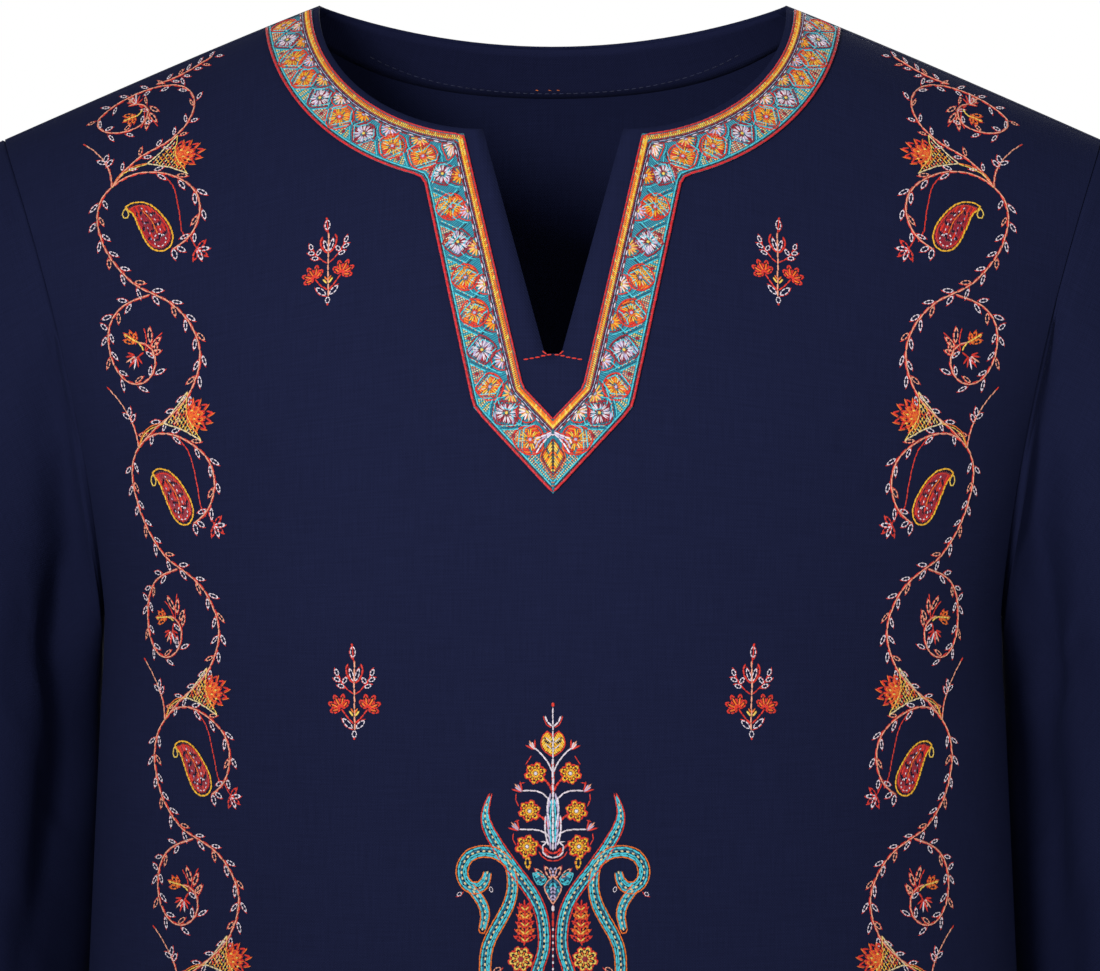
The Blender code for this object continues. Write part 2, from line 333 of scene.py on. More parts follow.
def linear(red, green, blue):
    """A display colour, 0 to 255, as the shader's linear one."""
    return tuple(((v / 255 + 0.055) / 1.055) ** 2.4 if v > 10 else v / 255 / 12.92
                 for v in (red, green, blue))


def link(tree, start, output, end, entry):
    tree.links.new(start.outputs[output], end.inputs[entry])


def maths(tree, kind, first, second=0.5, third=0.5):
    """A Math node; first, second and third are sockets or numbers."""
    node = tree.nodes.new("ShaderNodeMath")
    node.operation = kind
    for socket, value in zip(node.inputs, (first, second, third)):
        if isinstance(value, (int, float)):
            socket.default_value = value
        else:
            tree.links.new(value, socket)
    return node.outputs[0]


def node(tree, kind, *settings):
    """A new node with these (name, value) inputs."""
    made = tree.nodes.new(kind)
    for name, value in settings:
        made.inputs[name].default_value = value
    return made


def plain_weave_group():
    """Over-and-under threads with slubs: the height for a bump and a tone for the colour, painted darker in
    the weave's hollows.
    """
    tree = bpy.data.node_groups.new("plain_weave", "ShaderNodeTree")
    sockets = tree.interface
    sockets.new_socket("Flat", in_out="INPUT", socket_type="NodeSocketVector")
    for name, way in (("Thread Pitch", "INPUT"), ("Slub", "INPUT"), ("Height", "OUTPUT"),
                      ("Tone With Painted Shade", "OUTPUT")):
        sockets.new_socket(name, in_out=way, socket_type="NodeSocketFloat")
    start = tree.nodes.new("NodeGroupInput")
    end = tree.nodes.new("NodeGroupOutput")
    split = tree.nodes.new("ShaderNodeSeparateXYZ")
    link(tree, start, "Flat", split, 0)
    waves = []
    for axis in (0, 1):
        count = maths(tree, "DIVIDE", split.outputs[axis], start.outputs["Thread Pitch"])
        waves.append(maths(tree, "SINE", maths(tree, "MULTIPLY", count, math.pi)))
    cell = maths(tree, "MULTIPLY", *waves)
    slubs = []
    for stretch in ((1500, 60, 1), (55, 1300, 1)):
        turn = node(tree, "ShaderNodeMapping", ("Scale", stretch))
        link(tree, start, "Flat", turn, "Vector")
        noise = node(tree, "ShaderNodeTexNoise", ("Scale", 1), ("Detail", 2))
        link(tree, turn, "Vector", noise, "Vector")
        slubs.append(noise.outputs[0])
    slub = maths(tree, "ADD", *slubs)
    uneven = maths(tree, "MULTIPLY", maths(tree, "SUBTRACT", slub, 1.0), start.outputs["Slub"])
    height = maths(tree, "ADD", maths(tree, "MULTIPLY_ADD", cell, 0.5), uneven)
    tree.links.new(height, end.inputs["Height"])
    # The tone also follows the weave's height: painted shade in its hollows and painted highlight on its
    # crossings.
    tone = maths(tree, "ADD", uneven, maths(tree, "MULTIPLY", cell, 0.16))
    tree.links.new(maths(tree, "ADD", tone, 0.5), end.inputs["Tone With Painted Shade"])
    return tree


plain_weave = plain_weave_group()


def material(name, uv_map, *settings):
    """A material whose shader has these inputs: the material, its tree, its shader and a UV node."""
    made = bpy.data.materials.new(name)
    made.use_nodes = True
    tree = made.node_tree
    shader = tree.nodes["Principled BSDF"]
    for socket, value in settings:
        shader.inputs[socket].default_value = value
    flat = tree.nodes.new("ShaderNodeUVMap")
    flat.uv_map = uv_map
    return made, tree, shader, flat


def two_tones(tree, shader, dark, light, share):
    """The shader's colour, from dark to light by this share."""
    mix = tree.nodes.new("ShaderNodeMix")
    mix.data_type = "RGBA"
    mix.inputs["A"].default_value = (*dark, 1)
    mix.inputs["B"].default_value = (*light, 1)
    tree.links.new(share, mix.inputs["Factor"])
    tree.links.new(mix.outputs["Result"], shader.inputs["Base Color"])


def relief(tree, shader, height, strength, distance):
    """Fine relief in the shader's normal."""
    bump = node(tree, "ShaderNodeBump", ("Strength", strength), ("Distance", distance))
    tree.links.new(height, bump.inputs["Height"])
    link(tree, bump, "Normal", shader, "Normal")


YARN_PITCH = 0.55 * MM
COTTON_SLUB = 0.6
COTTON_NAP = 0.03
NAP_BLUE = (0.12, 0.18, 0.6, 1)
WEAR = 0.3
YARN_RELIEF = 0.55
YARN_HIGH = 0.00022


def cotton(name, dark, light):
    """Woven cotton: dyed yarns of slightly uneven depth with painted shade in the weave's hollows, a matt
    face and a low soft nap.
    """
    cloth, tree, shader, flat = material(
        name, "flat", ("Roughness", 0.86), ("Specular IOR Level", 0.08), ("Sheen Weight", COTTON_NAP),
        ("Sheen Roughness", 0.5), ("Sheen Tint", NAP_BLUE))
    weave = tree.nodes.new("ShaderNodeGroup")
    weave.node_tree = plain_weave
    link(tree, flat, "UV", weave, "Flat")
    weave.inputs["Thread Pitch"].default_value = YARN_PITCH
    weave.inputs["Slub"].default_value = COTTON_SLUB
    place = tree.nodes.new("ShaderNodeTexCoord")
    cloud = node(tree, "ShaderNodeTexNoise", ("Scale", 9), ("Detail", 3))
    link(tree, place, "Object", cloud, "Vector")
    wear = maths(tree, "MULTIPLY_ADD", cloud.outputs[0], WEAR, -WEAR / 2)
    two_tones(tree, shader, dark, light, maths(tree, "ADD", weave.outputs["Tone With Painted Shade"], wear))
    relief(tree, shader, weave.outputs["Height"], YARN_RELIEF, YARN_HIGH)
    return cloth


NAVY_DARK = linear(16, 20, 46)
NAVY_LIGHT = linear(26, 31, 62)
navy_cotton = cotton("navy_cotton", NAVY_DARK, NAVY_LIGHT)
front_panel = panel("front_panel_cloth", front_form, front_rows, navy_cotton)
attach(front_panel, "root")
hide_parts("front_panel")

# ---- Back panel ----
# The same cotton, cut in one piece.  It wraps over the shoulder ridge to the shoulder seams, with
# a shallow curve at the back neck, and shares the side vents with the front.
NECK_DROP_BACK = 14 * MM
UPPER_ROWS, BACK_NECK_ROWS, RIDGE_ROWS = 44, 22, 5
BACK_CREASES = (
    (((-190, -262), (-158, -300), (-120, -330)), 13, 3.6),
    (((190, -266), (166, -306), (139, -352), (120, -372)), 14, 4.2),
    (((-196, -96), (-160, -84), (-118, -92)), 12, 2.3),
    (((200, -104), (158, -100), (104, -82)), 11, 1.9),
    (((-98, -420), (-20, -448), (64, -440), (112, -416)), 17, 3.6),
    (((-70, -476), (-6, -490), (58, -474)), 12, 2.1),
    (((-140, -380), (-146, -520), (-154, -690), (-150, -850)), 20, 6.1),
    (((-92, -540), (-98, -680), (-94, -850)), 18, -4.4),
    (((-44, -500), (-50, -640), (-40, -760), (-46, -850)), 24, 5.5),
    (((8, -580), (4, -700), (10, -850)), 17, -3.8),
    (((52, -520), (60, -660), (54, -850)), 21, 4.8),
    (((110, -560), (114, -700), (106, -850)), 18, -4.9),
    (((158, -420), (150, -560), (160, -700), (154, -850)), 22, 6.5),
)


def back_neck(x):
    return -NECK_DROP_BACK * (1 - (x / NECK_HALF) ** 2)


back_rows = []
for step in range(HEM_ROWS):
    fall = BODY_DROP * (1 - step / HEM_ROWS)
    back_rows.append((math.pi + fall, 0.0, vent_at(fall), True))
neck_turn = float(turn_of(0.0, back_neck(0.0), True))
back_rows += [(math.pi + (neck_turn - math.pi) * k / UPPER_ROWS, 0.0, 0.0, True)
              for k in range(UPPER_ROWS + 1)]
for k in range(1, BACK_NECK_ROWS):
    curve_x = NECK_HALF * math.sin(math.pi / 2 * k / BACK_NECK_ROWS)
    back_rows.append((float(turn_of(curve_x, back_neck(curve_x), True)), curve_x, 0.0, False))
seam_x = neck_edge(last_angle)[0]
for k in range(RIDGE_ROWS + 1):
    back_rows.append((math.pi / 2 - SEAM_FORWARD * k / RIDGE_ROWS,
                      NECK_HALF + (seam_x - NECK_HALF) * k / RIDGE_ROWS, 0.0, False))
back_form = creased(BACK_CREASES)
back_panel = panel("back_panel_cloth", back_form, back_rows, navy_cotton)
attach(back_panel, "root")
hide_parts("back_panel")

# ---- Sleeves ----
# One-piece long sleeves of the same cotton, set into the armholes, with an underarm seam.  They
# hang filled out, with soft folds below the armhole and at the elbow and a turned-up cuff hem.
SLEEVE_ROWS = np.array((
    # top x, top height, under x, under height, front y, back y, own shape
    (229.6, -56.3, 187.9, -255.4, -40, 56, 0.00),
    (240, -62, 188.2, -263, -36, 62, 0.10),
    (256, -72.5, 188.8, -272, -34, 76, 0.40),
    (276, -94, 189.2, -286, -33, 90, 0.75),
    (291, -125, 189.6, -304, -33, 98, 1.00),
    (301, -165, 189.6, -328, -32, 101, 1.00),
    (308, -215, 190.6, -358, -32, 102, 1.00),
    (314, -275, 192.4, -396, -31, 100, 1.00),
    (320, -345, 197.5, -440, -30, 96, 1.00),
    (326, -420, 206, -492, -28, 89, 1.00),
    (331, -500, 216, -548, -27, 81, 1.00),
    (335, -575, 227, -600, -26, 74, 1.00),
    (337, -628, 236, -638, -25, 69, 1.00),
))
SLEEVE_RINGS = 110
SLEEVE_POINTS = 88
SLEEVE_FLAT = (372 * MM, 592 * MM)
TUCK = 1.4 * MM
USUAL_GIRTH = 0.33
UNDERARM_SEAM = (0.5 * MM, 2 * MM)
ARMHOLE_SEAM = (0.35 * MM, 2.2 * MM, 8 * MM)
CUFF_LINE = (0.3 * MM, 2 * MM, 20 * MM)
# Folds: a line of (ring 0..1, turn round 0..1 from the underarm by the front), half width and depth in mm.
LEFT_FOLDS = (
    (((0.03, 0.24), (0.04, 0.18), (0.06, 0.13), (0.14, 0.10), (0.34, 0.09), (0.62, 0.09)), 22, 13.0),
    (((0.10, 0.08), (0.20, 0.16), (0.31, 0.21)), 11, 3.9),
    (((0.17, 0.04), (0.30, 0.10), (0.42, 0.13), (0.56, 0.12)), 13, 4.8),
    (((0.26, 0.27), (0.35, 0.33), (0.41, 0.41)), 12, 2.5),
    (((0.47, 0.06), (0.52, 0.16), (0.55, 0.28)), 11, 3.6),
    (((0.56, 0.10), (0.60, 0.20), (0.61, 0.33)), 9, 2.7),
    (((0.50, 0.94), (0.55, 0.82), (0.56, 0.70)), 12, 3.9),
    (((0.60, 0.98), (0.63, 0.88), (0.66, 0.76), (0.65, 0.66)), 10, 3.0),
    (((0.12, 0.92), (0.22, 0.85), (0.34, 0.80)), 13, 4.1),
    (((0.04, 0.55), (0.12, 0.60), (0.24, 0.62)), 13, 2.2),
    (((0.72, 0.16), (0.82, 0.20), (0.96, 0.19)), 13, 2.7),
    (((0.70, 0.60), (0.84, 0.64), (0.97, 0.62)), 16, 3.2),
    (((0.78, 0.86), (0.88, 0.90), (0.98, 0.88)), 11, 2.0),
)
RIGHT_FOLDS = (
    (((0.03, 0.23), (0.04, 0.17), (0.07, 0.12), (0.16, 0.10), (0.38, 0.09), (0.66, 0.10)), 22, 12.5),
    (((0.09, 0.10), (0.19, 0.17), (0.28, 0.20)), 12, 3.6),
    (((0.16, 0.05), (0.29, 0.11), (0.44, 0.14), (0.60, 0.14)), 12, 5.1),
    (((0.30, 0.25), (0.38, 0.30), (0.46, 0.40)), 11, 2.8),
    (((0.49, 0.05), (0.54, 0.18), (0.54, 0.30)), 12, 3.2),
    (((0.59, 0.08), (0.62, 0.19), (0.65, 0.30)), 9, 3.2),
    (((0.51, 0.95), (0.53, 0.84), (0.58, 0.72)), 11, 3.4),
    (((0.58, 0.97), (0.62, 0.86), (0.63, 0.74)), 12, 3.3),
    (((0.14, 0.93), (0.25, 0.87), (0.38, 0.84)), 12, 4.3),
    (((0.05, 0.50), (0.14, 0.47), (0.26, 0.49)), 14, 2.0),
    (((0.70, 0.22), (0.84, 0.25), (0.97, 0.22)), 15, 3.0),
    (((0.74, 0.66), (0.86, 0.70), (0.98, 0.70)), 13, 2.4),
)


def sleeve_row(spot):
    """One sleeve row at a spot between the listed ones, on a smooth line through them."""
    place = min(int(spot), len(SLEEVE_ROWS) - 2)
    t = spot - place
    a, b, c, d = (SLEEVE_ROWS[min(max(place + k, 0), len(SLEEVE_ROWS) - 1)] for k in (-1, 0, 1, 2))
    return through(a, b, c, d, t)


def sleeve_ring(spot):
    """A ring of points from the underarm round the front to the back."""
    top_x, top_z, under_x, under_z, front, back, own = sleeve_row(spot)
    own = min(max(own, 0.0), 1.0)
    first = SLEEVE_ROWS[0]
    angle = 2 * math.pi * np.arange(SLEEVE_POINTS + 1) / SLEEVE_POINTS
    hole = body_form(reach_of(angle / 2), angle / 2)
    outer = (1 - np.cos(angle)) / 2
    middle, half = (front + back) / 2, (back - front) / 2
    hole[:, 0] += 0.4 * MM + ((under_x - first[2]) * (1 - outer) + (top_x - first[0]) * outer) * MM
    hole[:, 1] += (middle - RIDGE_Y / MM) * MM * own
    hole[:, 2] += ((under_z - first[3]) * (1 - outer) + (top_z - first[1]) * outer) * MM
    oval = np.stack([((under_x + top_x) - (top_x - under_x) * np.cos(angle)) / 2 * MM,
                     (middle - half * np.sin(angle)) * MM,
                     ((under_z + top_z) - (top_z - under_z) * np.cos(angle)) / 2 * MM], -1)
    return hole + (oval - hole) * own


def sleeve(name, side, folds):
    """A whole sleeve.  Its first ring is tucked under the body's edge, as a seam allowance is."""
    spots = np.linspace(0, len(SLEEVE_ROWS) - 1, SLEEVE_RINGS)
    rings = np.array([sleeve_ring(spot) for spot in spots])
    centre = rings.mean(axis=1, keepdims=True)
    rings[0] += unit(centre[0] - rings[0]) * TUCK
    rings[0, :, 0] -= TUCK
    along = np.gradient(rings, axis=0)
    around = np.roll(rings[:, :-1], -1, axis=1) - np.roll(rings[:, :-1], 1, axis=1)
    around = np.concatenate([around, around[:, :1]], axis=1)
    out = unit(np.cross(around, along))
    out *= np.sign(np.sum(out * (rings - centre), axis=-1, keepdims=True))
    girth = run_along(rings, 1)
    length = run_along(rings.mean(axis=1))
    deep = np.zeros(girth.shape)
    turns = np.linspace(0, 1, SLEEVE_POINTS + 1)[None, :]
    shares = (length / length[-1])[:, None]
    for line, wide, depth in folds:
        line = np.array(line)
        near = np.full(girth.shape, FAR)
        share = np.zeros(girth.shape)
        for number, (start, end) in enumerate(zip(line, line[1:])):
            for wrap in (-1, 0, 1):
                dx = (shares - start[0]) * length[-1]
                dy = (turns + wrap - start[1]) * girth[:, -1:]
                way = np.array([(end[0] - start[0]) * length[-1], (end[1] - start[1]) * USUAL_GIRTH])
                run = np.hypot(*way)
                way = way / run
                t = np.clip(dx * way[0] + dy * way[1], 0, run)
                gap = np.hypot(dx - t * way[0], dy - t * way[1])
                share = np.where(gap < near, (number + t / run) / (len(line) - 1), share)
                near = np.minimum(near, gap)
        fade = np.sin(math.pi * np.clip(share, 0.0, 1)) ** 0.8
        deep += depth * MM * np.exp(-(near / (wide * MM)) ** 2) * fade
    seam = np.minimum(girth, girth[:, -1:] - girth)
    deep += UNDERARM_SEAM[0] * np.exp(-(seam / UNDERARM_SEAM[1]) ** 2)
    sunk, wide, run = ARMHOLE_SEAM
    deep += sunk * np.exp(-((length[:, None] - length[0] - run) / wide) ** 2)
    sunk, wide, run = CUFF_LINE
    deep += sunk * np.exp(-((length[-1] - run - length[:, None]) / wide) ** 2)
    deep[0] = 0
    points = (rings - out * deep[..., None]).reshape(-1, 3) * np.array([side, 1, 1])
    half_girth = girth[:, -1:] / 2
    flat = np.stack([girth - half_girth, -np.broadcast_to(length[:, None], girth.shape)], -1).reshape(-1, 2)
    width = SLEEVE_POINTS + 1
    faces = []
    for ring in range(SLEEVE_RINGS - 1):
        for k in range(SLEEVE_POINTS):
            a = ring * width + k
            loop = (a, a + 1, a + 1 + width, a + width)
            faces.append(loop if side < 0 else loop[::-1])
    piece = sewn(name, points, faces, flat, navy_cotton, COTTON_THICK)
    weld(piece)
    return piece


def weld(piece):
    """Joins the two edges of a tube at its seam; the flat coordinates stay apart there."""
    shape = bmesh.new()
    shape.from_mesh(piece.data)
    bmesh.ops.remove_doubles(shape, verts=shape.verts[:], dist=1e-6)
    shape.to_mesh(piece.data)
    shape.free()


for sleeve_name, side, folds in (("sleeve_left", 1, LEFT_FOLDS), ("sleeve_right", -1, RIGHT_FOLDS)):
    piece = sleeve(sleeve_name + "_cloth", side, folds)
    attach(piece, "root")
    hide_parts(sleeve_name)

# ---- Back neck facing ----
# A shaped strip of the same cotton turned down inside the back neck and caught by one row of
# stitches near its lower edge, so no raw edge shows through the open neck.
FACING_DEEP = 21 * MM
FACING_THICK = 0.3 * MM
FACING_GAP = 0.05 * MM
FACING_HALF_ROWS, FACING_ACROSS = 32, 7


def strip_grid(lines, form, lift, back=False):
    """Points of a strip laid on the cloth; lines hold (x, height) in metres."""
    lines = np.array(lines)
    xs = lines[..., 0]
    heights = np.minimum(lines[..., 1], ridge(xs))
    turns = turn_of(xs, heights, back)
    return form(xs, turns) + outward(form, xs, turns) * lift


def strip_faces(long, across, flip):
    faces = []
    for i in range(long - 1):
        for k in range(across - 1):
            a = i * across + k
            loop = (a, a + 1, a + across + 1, a + across)
            faces.append(loop[::-1] if flip else loop)
    return faces


facing_lines = []
for k in range(-FACING_HALF_ROWS, FACING_HALF_ROWS + 1):
    facing_x = (NECK_HALF - 3 * MM) * math.sin(math.pi / 2 * k / FACING_HALF_ROWS)
    top = (facing_x, back_neck(facing_x) - 0.8 * MM)
    foot_z = back_neck(facing_x) - FACING_DEEP * (1 - 0.75 * (facing_x / NECK_HALF) ** 4)
    foot = (facing_x * 1.13, min(foot_z, float(ridge(facing_x * 1.13)) - 4 * MM))
    facing_lines.append([(top[0] + (foot[0] - top[0]) * t, top[1] + (foot[1] - top[1]) * t)
                         for t in np.linspace(0, 1, FACING_ACROSS)])
facing_lift = np.full((1, FACING_ACROSS, 1), -COTTON_THICK - FACING_GAP)
facing_lift[:, -1] = FACING_THICK / 2 - COTTON_THICK
facing_points = strip_grid(facing_lines, back_form, facing_lift, True)
facing_run = run_along(facing_points[:, FACING_ACROSS // 2])
facing_run -= facing_run[-1] / 2
facing_down = np.linspace(0, FACING_DEEP, FACING_ACROSS)
facing_flat = np.stack(np.broadcast_arrays(facing_run[:, None], facing_down[None]), -1)
# The facing's cotton is a lighter copy of the body's: painted light on the strip inside the open neck.
navy_facing = cotton("navy_facing", linear(18, 22, 48), linear(28, 32, 64))
facing = sewn("back_neck_facing_cloth", facing_points.reshape(-1, 3),
              strip_faces(len(facing_lines), FACING_ACROSS, True),
              facing_flat.reshape(-1, 2), navy_facing, FACING_THICK)
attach(facing, "root")
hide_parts("back_neck_facing")

# ---- Neck border ----
# A separate band worked solid in silk and gilt thread, then laid round the neckline: mitred at the
# slit's corners, straight down the slit and pointed below it.  Its ground is turquoise satin stitch.
BORDER_INNER = 2.8 * MM
BORDER_OUTER = 22.5 * MM
INNER_CORNER = (36 * MM, -58.2 * MM)
INNER_FOOT = (11.8 * MM, -161.5 * MM)
INNER_TIP = (0.0, -174 * MM)
OUTER_CORNER = (51.9 * MM, -77 * MM)
OUTER_FOOT = (31.6 * MM, -169.8 * MM)
OUTER_TIP = (0.0, -204 * MM)
BORDER_THICK = 0.7 * MM
BORDER_LIFT = 0.75 * MM
BORDER_WIDE = 19.7


def neck_line(out, corner, count):
    """A parallel of the neckline from the shoulder seam to its mitre."""
    high = shoulder_angle(out)
    low = math.asin(max(corner[0] - SLIT_TOP[0], 0.0) / (NECK_HALF - SLIT_TOP[0] + out))
    return [neck_edge(high + (low - high) * k / count, out) for k in range(count)]


def straight(start, end, count):
    return [(start[0] + (end[0] - start[0]) * k / count, start[1] + (end[1] - start[1]) * k / count)
            for k in range(count)]


NECK_STEPS, SLIT_STEPS, POINT_STEPS = 42, 36, 16
border_inner = (neck_line(BORDER_INNER, INNER_CORNER, NECK_STEPS)
                + straight(INNER_CORNER, INNER_FOOT, SLIT_STEPS)
                + straight(INNER_FOOT, INNER_TIP, POINT_STEPS) + [INNER_TIP])
border_outer = (neck_line(BORDER_OUTER, OUTER_CORNER, NECK_STEPS)
                + straight(OUTER_CORNER, OUTER_FOOT, SLIT_STEPS)
                + straight(OUTER_FOOT, OUTER_TIP, POINT_STEPS) + [OUTER_TIP])
border_inner = np.array(border_inner)
border_outer = np.array(border_outer)
border_middle = strip_grid((border_inner + border_outer) / 2, front_form, 0.0)
border_run = run_along(border_middle) / MM
BORDER_LONG = float(border_run[-1])
CORNER_RUN = float(border_run[NECK_STEPS])
FOOT_RUN = float(border_run[NECK_STEPS + SLIT_STEPS])
BORDER_ACROSS = np.linspace(0, 1, 9)

right = border_inner[:, None] + (border_outer - border_inner)[:, None] * BORDER_ACROSS[None, :, None]
left = right[-2::-1] * np.array([-1, 1])
border_lines = np.concatenate([right, left])
border_points = strip_grid(border_lines, front_form, BORDER_LIFT)
whole_run = np.concatenate([border_run, 2 * BORDER_LONG - border_run[-2::-1]]) * MM
border_flat = np.stack(np.broadcast_arrays(whole_run[:, None], BORDER_ACROSS[None] * BORDER_WIDE * MM), -1)


def satin_stitch(name, dark, light, pitch):
    """Closely laid silk floss: narrow raised threads across the band, each a little off in shade, painted
    darker in the grooves.
    """
    silk, tree, shader, flat = material(name, "flat", ("Roughness", 0.5), ("Specular IOR Level", 0.35),
                                        ("Sheen Weight", 0.12))
    split = tree.nodes.new("ShaderNodeSeparateXYZ")
    link(tree, flat, "UV", split, 0)
    shade = node(tree, "ShaderNodeTexNoise", ("Scale", 1))
    spread = node(tree, "ShaderNodeMapping", ("Scale", (1300, 160, 1)))
    link(tree, flat, "UV", spread, "Vector")
    link(tree, spread, "Vector", shade, "Vector")
    wave = maths(tree, "SINE", maths(tree, "MULTIPLY", split.outputs[0], 2 * math.pi / pitch))
    # The wave that raises the threads also colours them: painted highlight on each crest, painted shade in
    # each groove.
    tone = maths(tree, "ADD", shade.outputs[0], maths(tree, "MULTIPLY", wave, 0.3))
    two_tones(tree, shader, dark, light, tone)
    relief(tree, shader, maths(tree, "ADD", wave, shade.outputs[0]), 0.8, 0.0003)
    return silk


border_silk = satin_stitch("embroidered_border", linear(16, 88, 122), linear(60, 186, 208), 0.9 * MM)
border = sewn("neck_border_cloth", border_points.reshape(-1, 3),
              strip_faces(len(border_lines), len(BORDER_ACROSS), True),
              border_flat.reshape(-1, 2), border_silk, BORDER_THICK)
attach(border, "root")
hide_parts("neck_border")

# Every stitch is a short grain of floss, laid from where the needle comes up to where it goes down.
# A stitch is (a, b, a, b, width, height, lift, colour) in mm on its motif's own flat place.
(RED, PEACH, WHITE, GOLD, ORANGE, CRIMSON, TURQUOISE, DEEP, CREAM, LILAC, DARK, YELLOW, NAVY,
 SCARLET) = range(14)
FLOSS = np.array([
    linear(228, 42, 24), linear(253, 172, 140), linear(240, 228, 238), linear(255, 190, 34),
    linear(248, 118, 22), linear(156, 16, 44), linear(70, 206, 224), linear(18, 104, 138),
    linear(242, 220, 168), linear(196, 184, 222), linear(46, 16, 44), linear(250, 212, 92),
    linear(38, 44, 78), linear(212, 26, 38)])
GRAIN_SIDES = 5
GRAIN_RINGS = 3
chance = np.random.default_rng(41)


def stitch_tree():
    """Lays one grain on every point, along its stitch and upright on the cloth."""
    tree = bpy.data.node_groups.new("laid_stitches", "GeometryNodeTree")
    sockets = tree.interface
    sockets.new_socket("Stitches", in_out="INPUT", socket_type="NodeSocketGeometry")
    for name in ("Grain Sides", "Grain Rings"):
        sockets.new_socket(name, in_out="INPUT", socket_type="NodeSocketInt")
    sockets.new_socket("Floss", in_out="INPUT", socket_type="NodeSocketMaterial")
    sockets.new_socket("Grains", in_out="OUTPUT", socket_type="NodeSocketGeometry")
    start = tree.nodes.new("NodeGroupInput")
    end = tree.nodes.new("NodeGroupOutput")
    spots, grain, wrap, lay, real, smooth, finish = (tree.nodes.new("GeometryNode" + kind) for kind in (
        "MeshToPoints", "MeshUVSphere", "StoreNamedAttribute", "InstanceOnPoints", "RealizeInstances",
        "SetShadeSmooth", "SetMaterial"))
    wrap.data_type = "FLOAT2"
    wrap.domain = "CORNER"
    wrap.inputs["Name"].default_value = "grain"
    given = {}
    for name in ("along", "up", "size"):
        given[name] = tree.nodes.new("GeometryNodeInputNamedAttribute")
        given[name].data_type = "FLOAT_VECTOR"
        given[name].inputs["Name"].default_value = name
    turn = tree.nodes.new("FunctionNodeAxesToRotation")
    turn.primary_axis = "Z"
    turn.secondary_axis = "X"
    for giver, output, taker, entry in (
            (start, "Grain Sides", grain, "Segments"), (start, "Grain Rings", grain, "Rings"),
            (start, "Stitches", spots, "Mesh"), (grain, "Mesh", wrap, "Geometry"),
            (grain, "UV Map", wrap, "Value"), (given["along"], "Attribute", turn, "Primary Axis"),
            (given["up"], "Attribute", turn, "Secondary Axis"), (spots, "Points", lay, "Points"),
            (wrap, "Geometry", lay, "Instance"), (turn, "Rotation", lay, "Rotation"),
            (given["size"], "Attribute", lay, "Scale"), (lay, "Instances", real, "Geometry"),
            (real, "Geometry", smooth, "Geometry"), (smooth, "Geometry", finish, "Geometry"),
            (start, "Floss", finish, "Material"), (finish, "Geometry", end, "Grains")):
        link(tree, giver, output, taker, entry)
    return tree


laid_stitches = stitch_tree()


PLIES_ALONG, PLIES_ROUND = 44.0, 17.0
PLY_SHADE = 0.25


def silk_floss(name, roughness, sheen):
    """Stranded silk: the dye varies from stitch to stitch, and fine plies run round each grain."""
    silk, tree, shader, round_it = material(name, "grain", ("Roughness", roughness),
                                            ("Specular IOR Level", 0.4), ("Sheen Weight", sheen))
    dye = tree.nodes.new("ShaderNodeAttribute")
    dye.attribute_name = "dye"
    split = tree.nodes.new("ShaderNodeSeparateXYZ")
    link(tree, round_it, "UV", split, 0)
    twist = maths(tree, "ADD", maths(tree, "MULTIPLY", split.outputs[0], PLIES_ALONG),
                  maths(tree, "MULTIPLY", split.outputs[1], PLIES_ROUND))
    ply = maths(tree, "SINE", twist)
    depth = tree.nodes.new("ShaderNodeMix")
    depth.data_type = "RGBA"
    depth.blend_type = "MULTIPLY"
    depth.inputs["B"].default_value = (0.72, 0.7, 0.72, 1)
    tree.links.new(maths(tree, "MULTIPLY_ADD", ply, PLY_SHADE, PLY_SHADE), depth.inputs["Factor"])
    link(tree, dye, "Color", depth, "A")
    tree.links.new(depth.outputs["Result"], shader.inputs["Base Color"])
    relief(tree, shader, ply, 0.35, 0.0001)
    return silk


FLOSS_SILK = silk_floss("embroidery_thread", 0.42, 0.15)


BEDDED = 0.3
PLUMP = 1.15


def laid(name, stitches, where, shade=0.12):
    """The grains of these stitches; where(a, b) gives places and outward directions on the cloth."""
    rows = np.array(stitches)
    start, up = where(rows[:, 0], rows[:, 1])
    stop, _ = where(rows[:, 2], rows[:, 3])
    long = np.linalg.norm(stop - start, axis=-1)
    wide, high, lift = (rows[:, k] * MM for k in (4, 5, 6))
    along = unit(stop - start)
    up = unit(up - along * np.sum(up * along, axis=-1, keepdims=True))
    middle = (start + stop) / 2 + up * (lift + high * BEDDED)[:, None]
    size = np.stack([high, wide * PLUMP, long], -1) / 2
    dye = FLOSS[rows[:, 7].astype(int)]
    dye = dye * (1 + chance.uniform(-shade, shade, (len(rows), 1)))
    dye = np.concatenate([np.clip(dye, 0, 1), np.ones((len(rows), 1))], -1)
    mesh = bpy.data.meshes.new(name)
    mesh.from_pydata(middle.tolist(), [], [])
    for key, kind, values in (("along", "FLOAT_VECTOR", along), ("up", "FLOAT_VECTOR", up),
                              ("size", "FLOAT_VECTOR", size), ("dye", "FLOAT_COLOR", dye)):
        data = mesh.attributes.new(key, kind, "POINT")
        data.data.foreach_set("color" if key == "dye" else "vector", values.ravel())
    seeds = bpy.data.objects.new(name + "_seeds", mesh)
    bpy.context.collection.objects.link(seeds)
    grow = seeds.modifiers.new("stitches", "NODES")
    grow.node_group = laid_stitches
    ids = {s.name: s.identifier for s in laid_stitches.interface.items_tree if s.in_out == "INPUT"}
    grow[ids["Grain Sides"]] = GRAIN_SIDES
    grow[ids["Grain Rings"]] = GRAIN_RINGS
    grow[ids["Floss"]] = FLOSS_SILK
    ready = seeds.evaluated_get(bpy.context.evaluated_depsgraph_get())
    grains = bpy.data.meshes.new_from_object(ready)
    bpy.data.objects.remove(seeds, do_unlink=True)
    for key in ("along", "up", "size"):
        if key in grains.attributes:
            grains.attributes.remove(grains.attributes[key])
    grains.name = name
    piece = bpy.data.objects.new(name, grains)
    bpy.context.collection.objects.link(piece)
    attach(piece, "root")


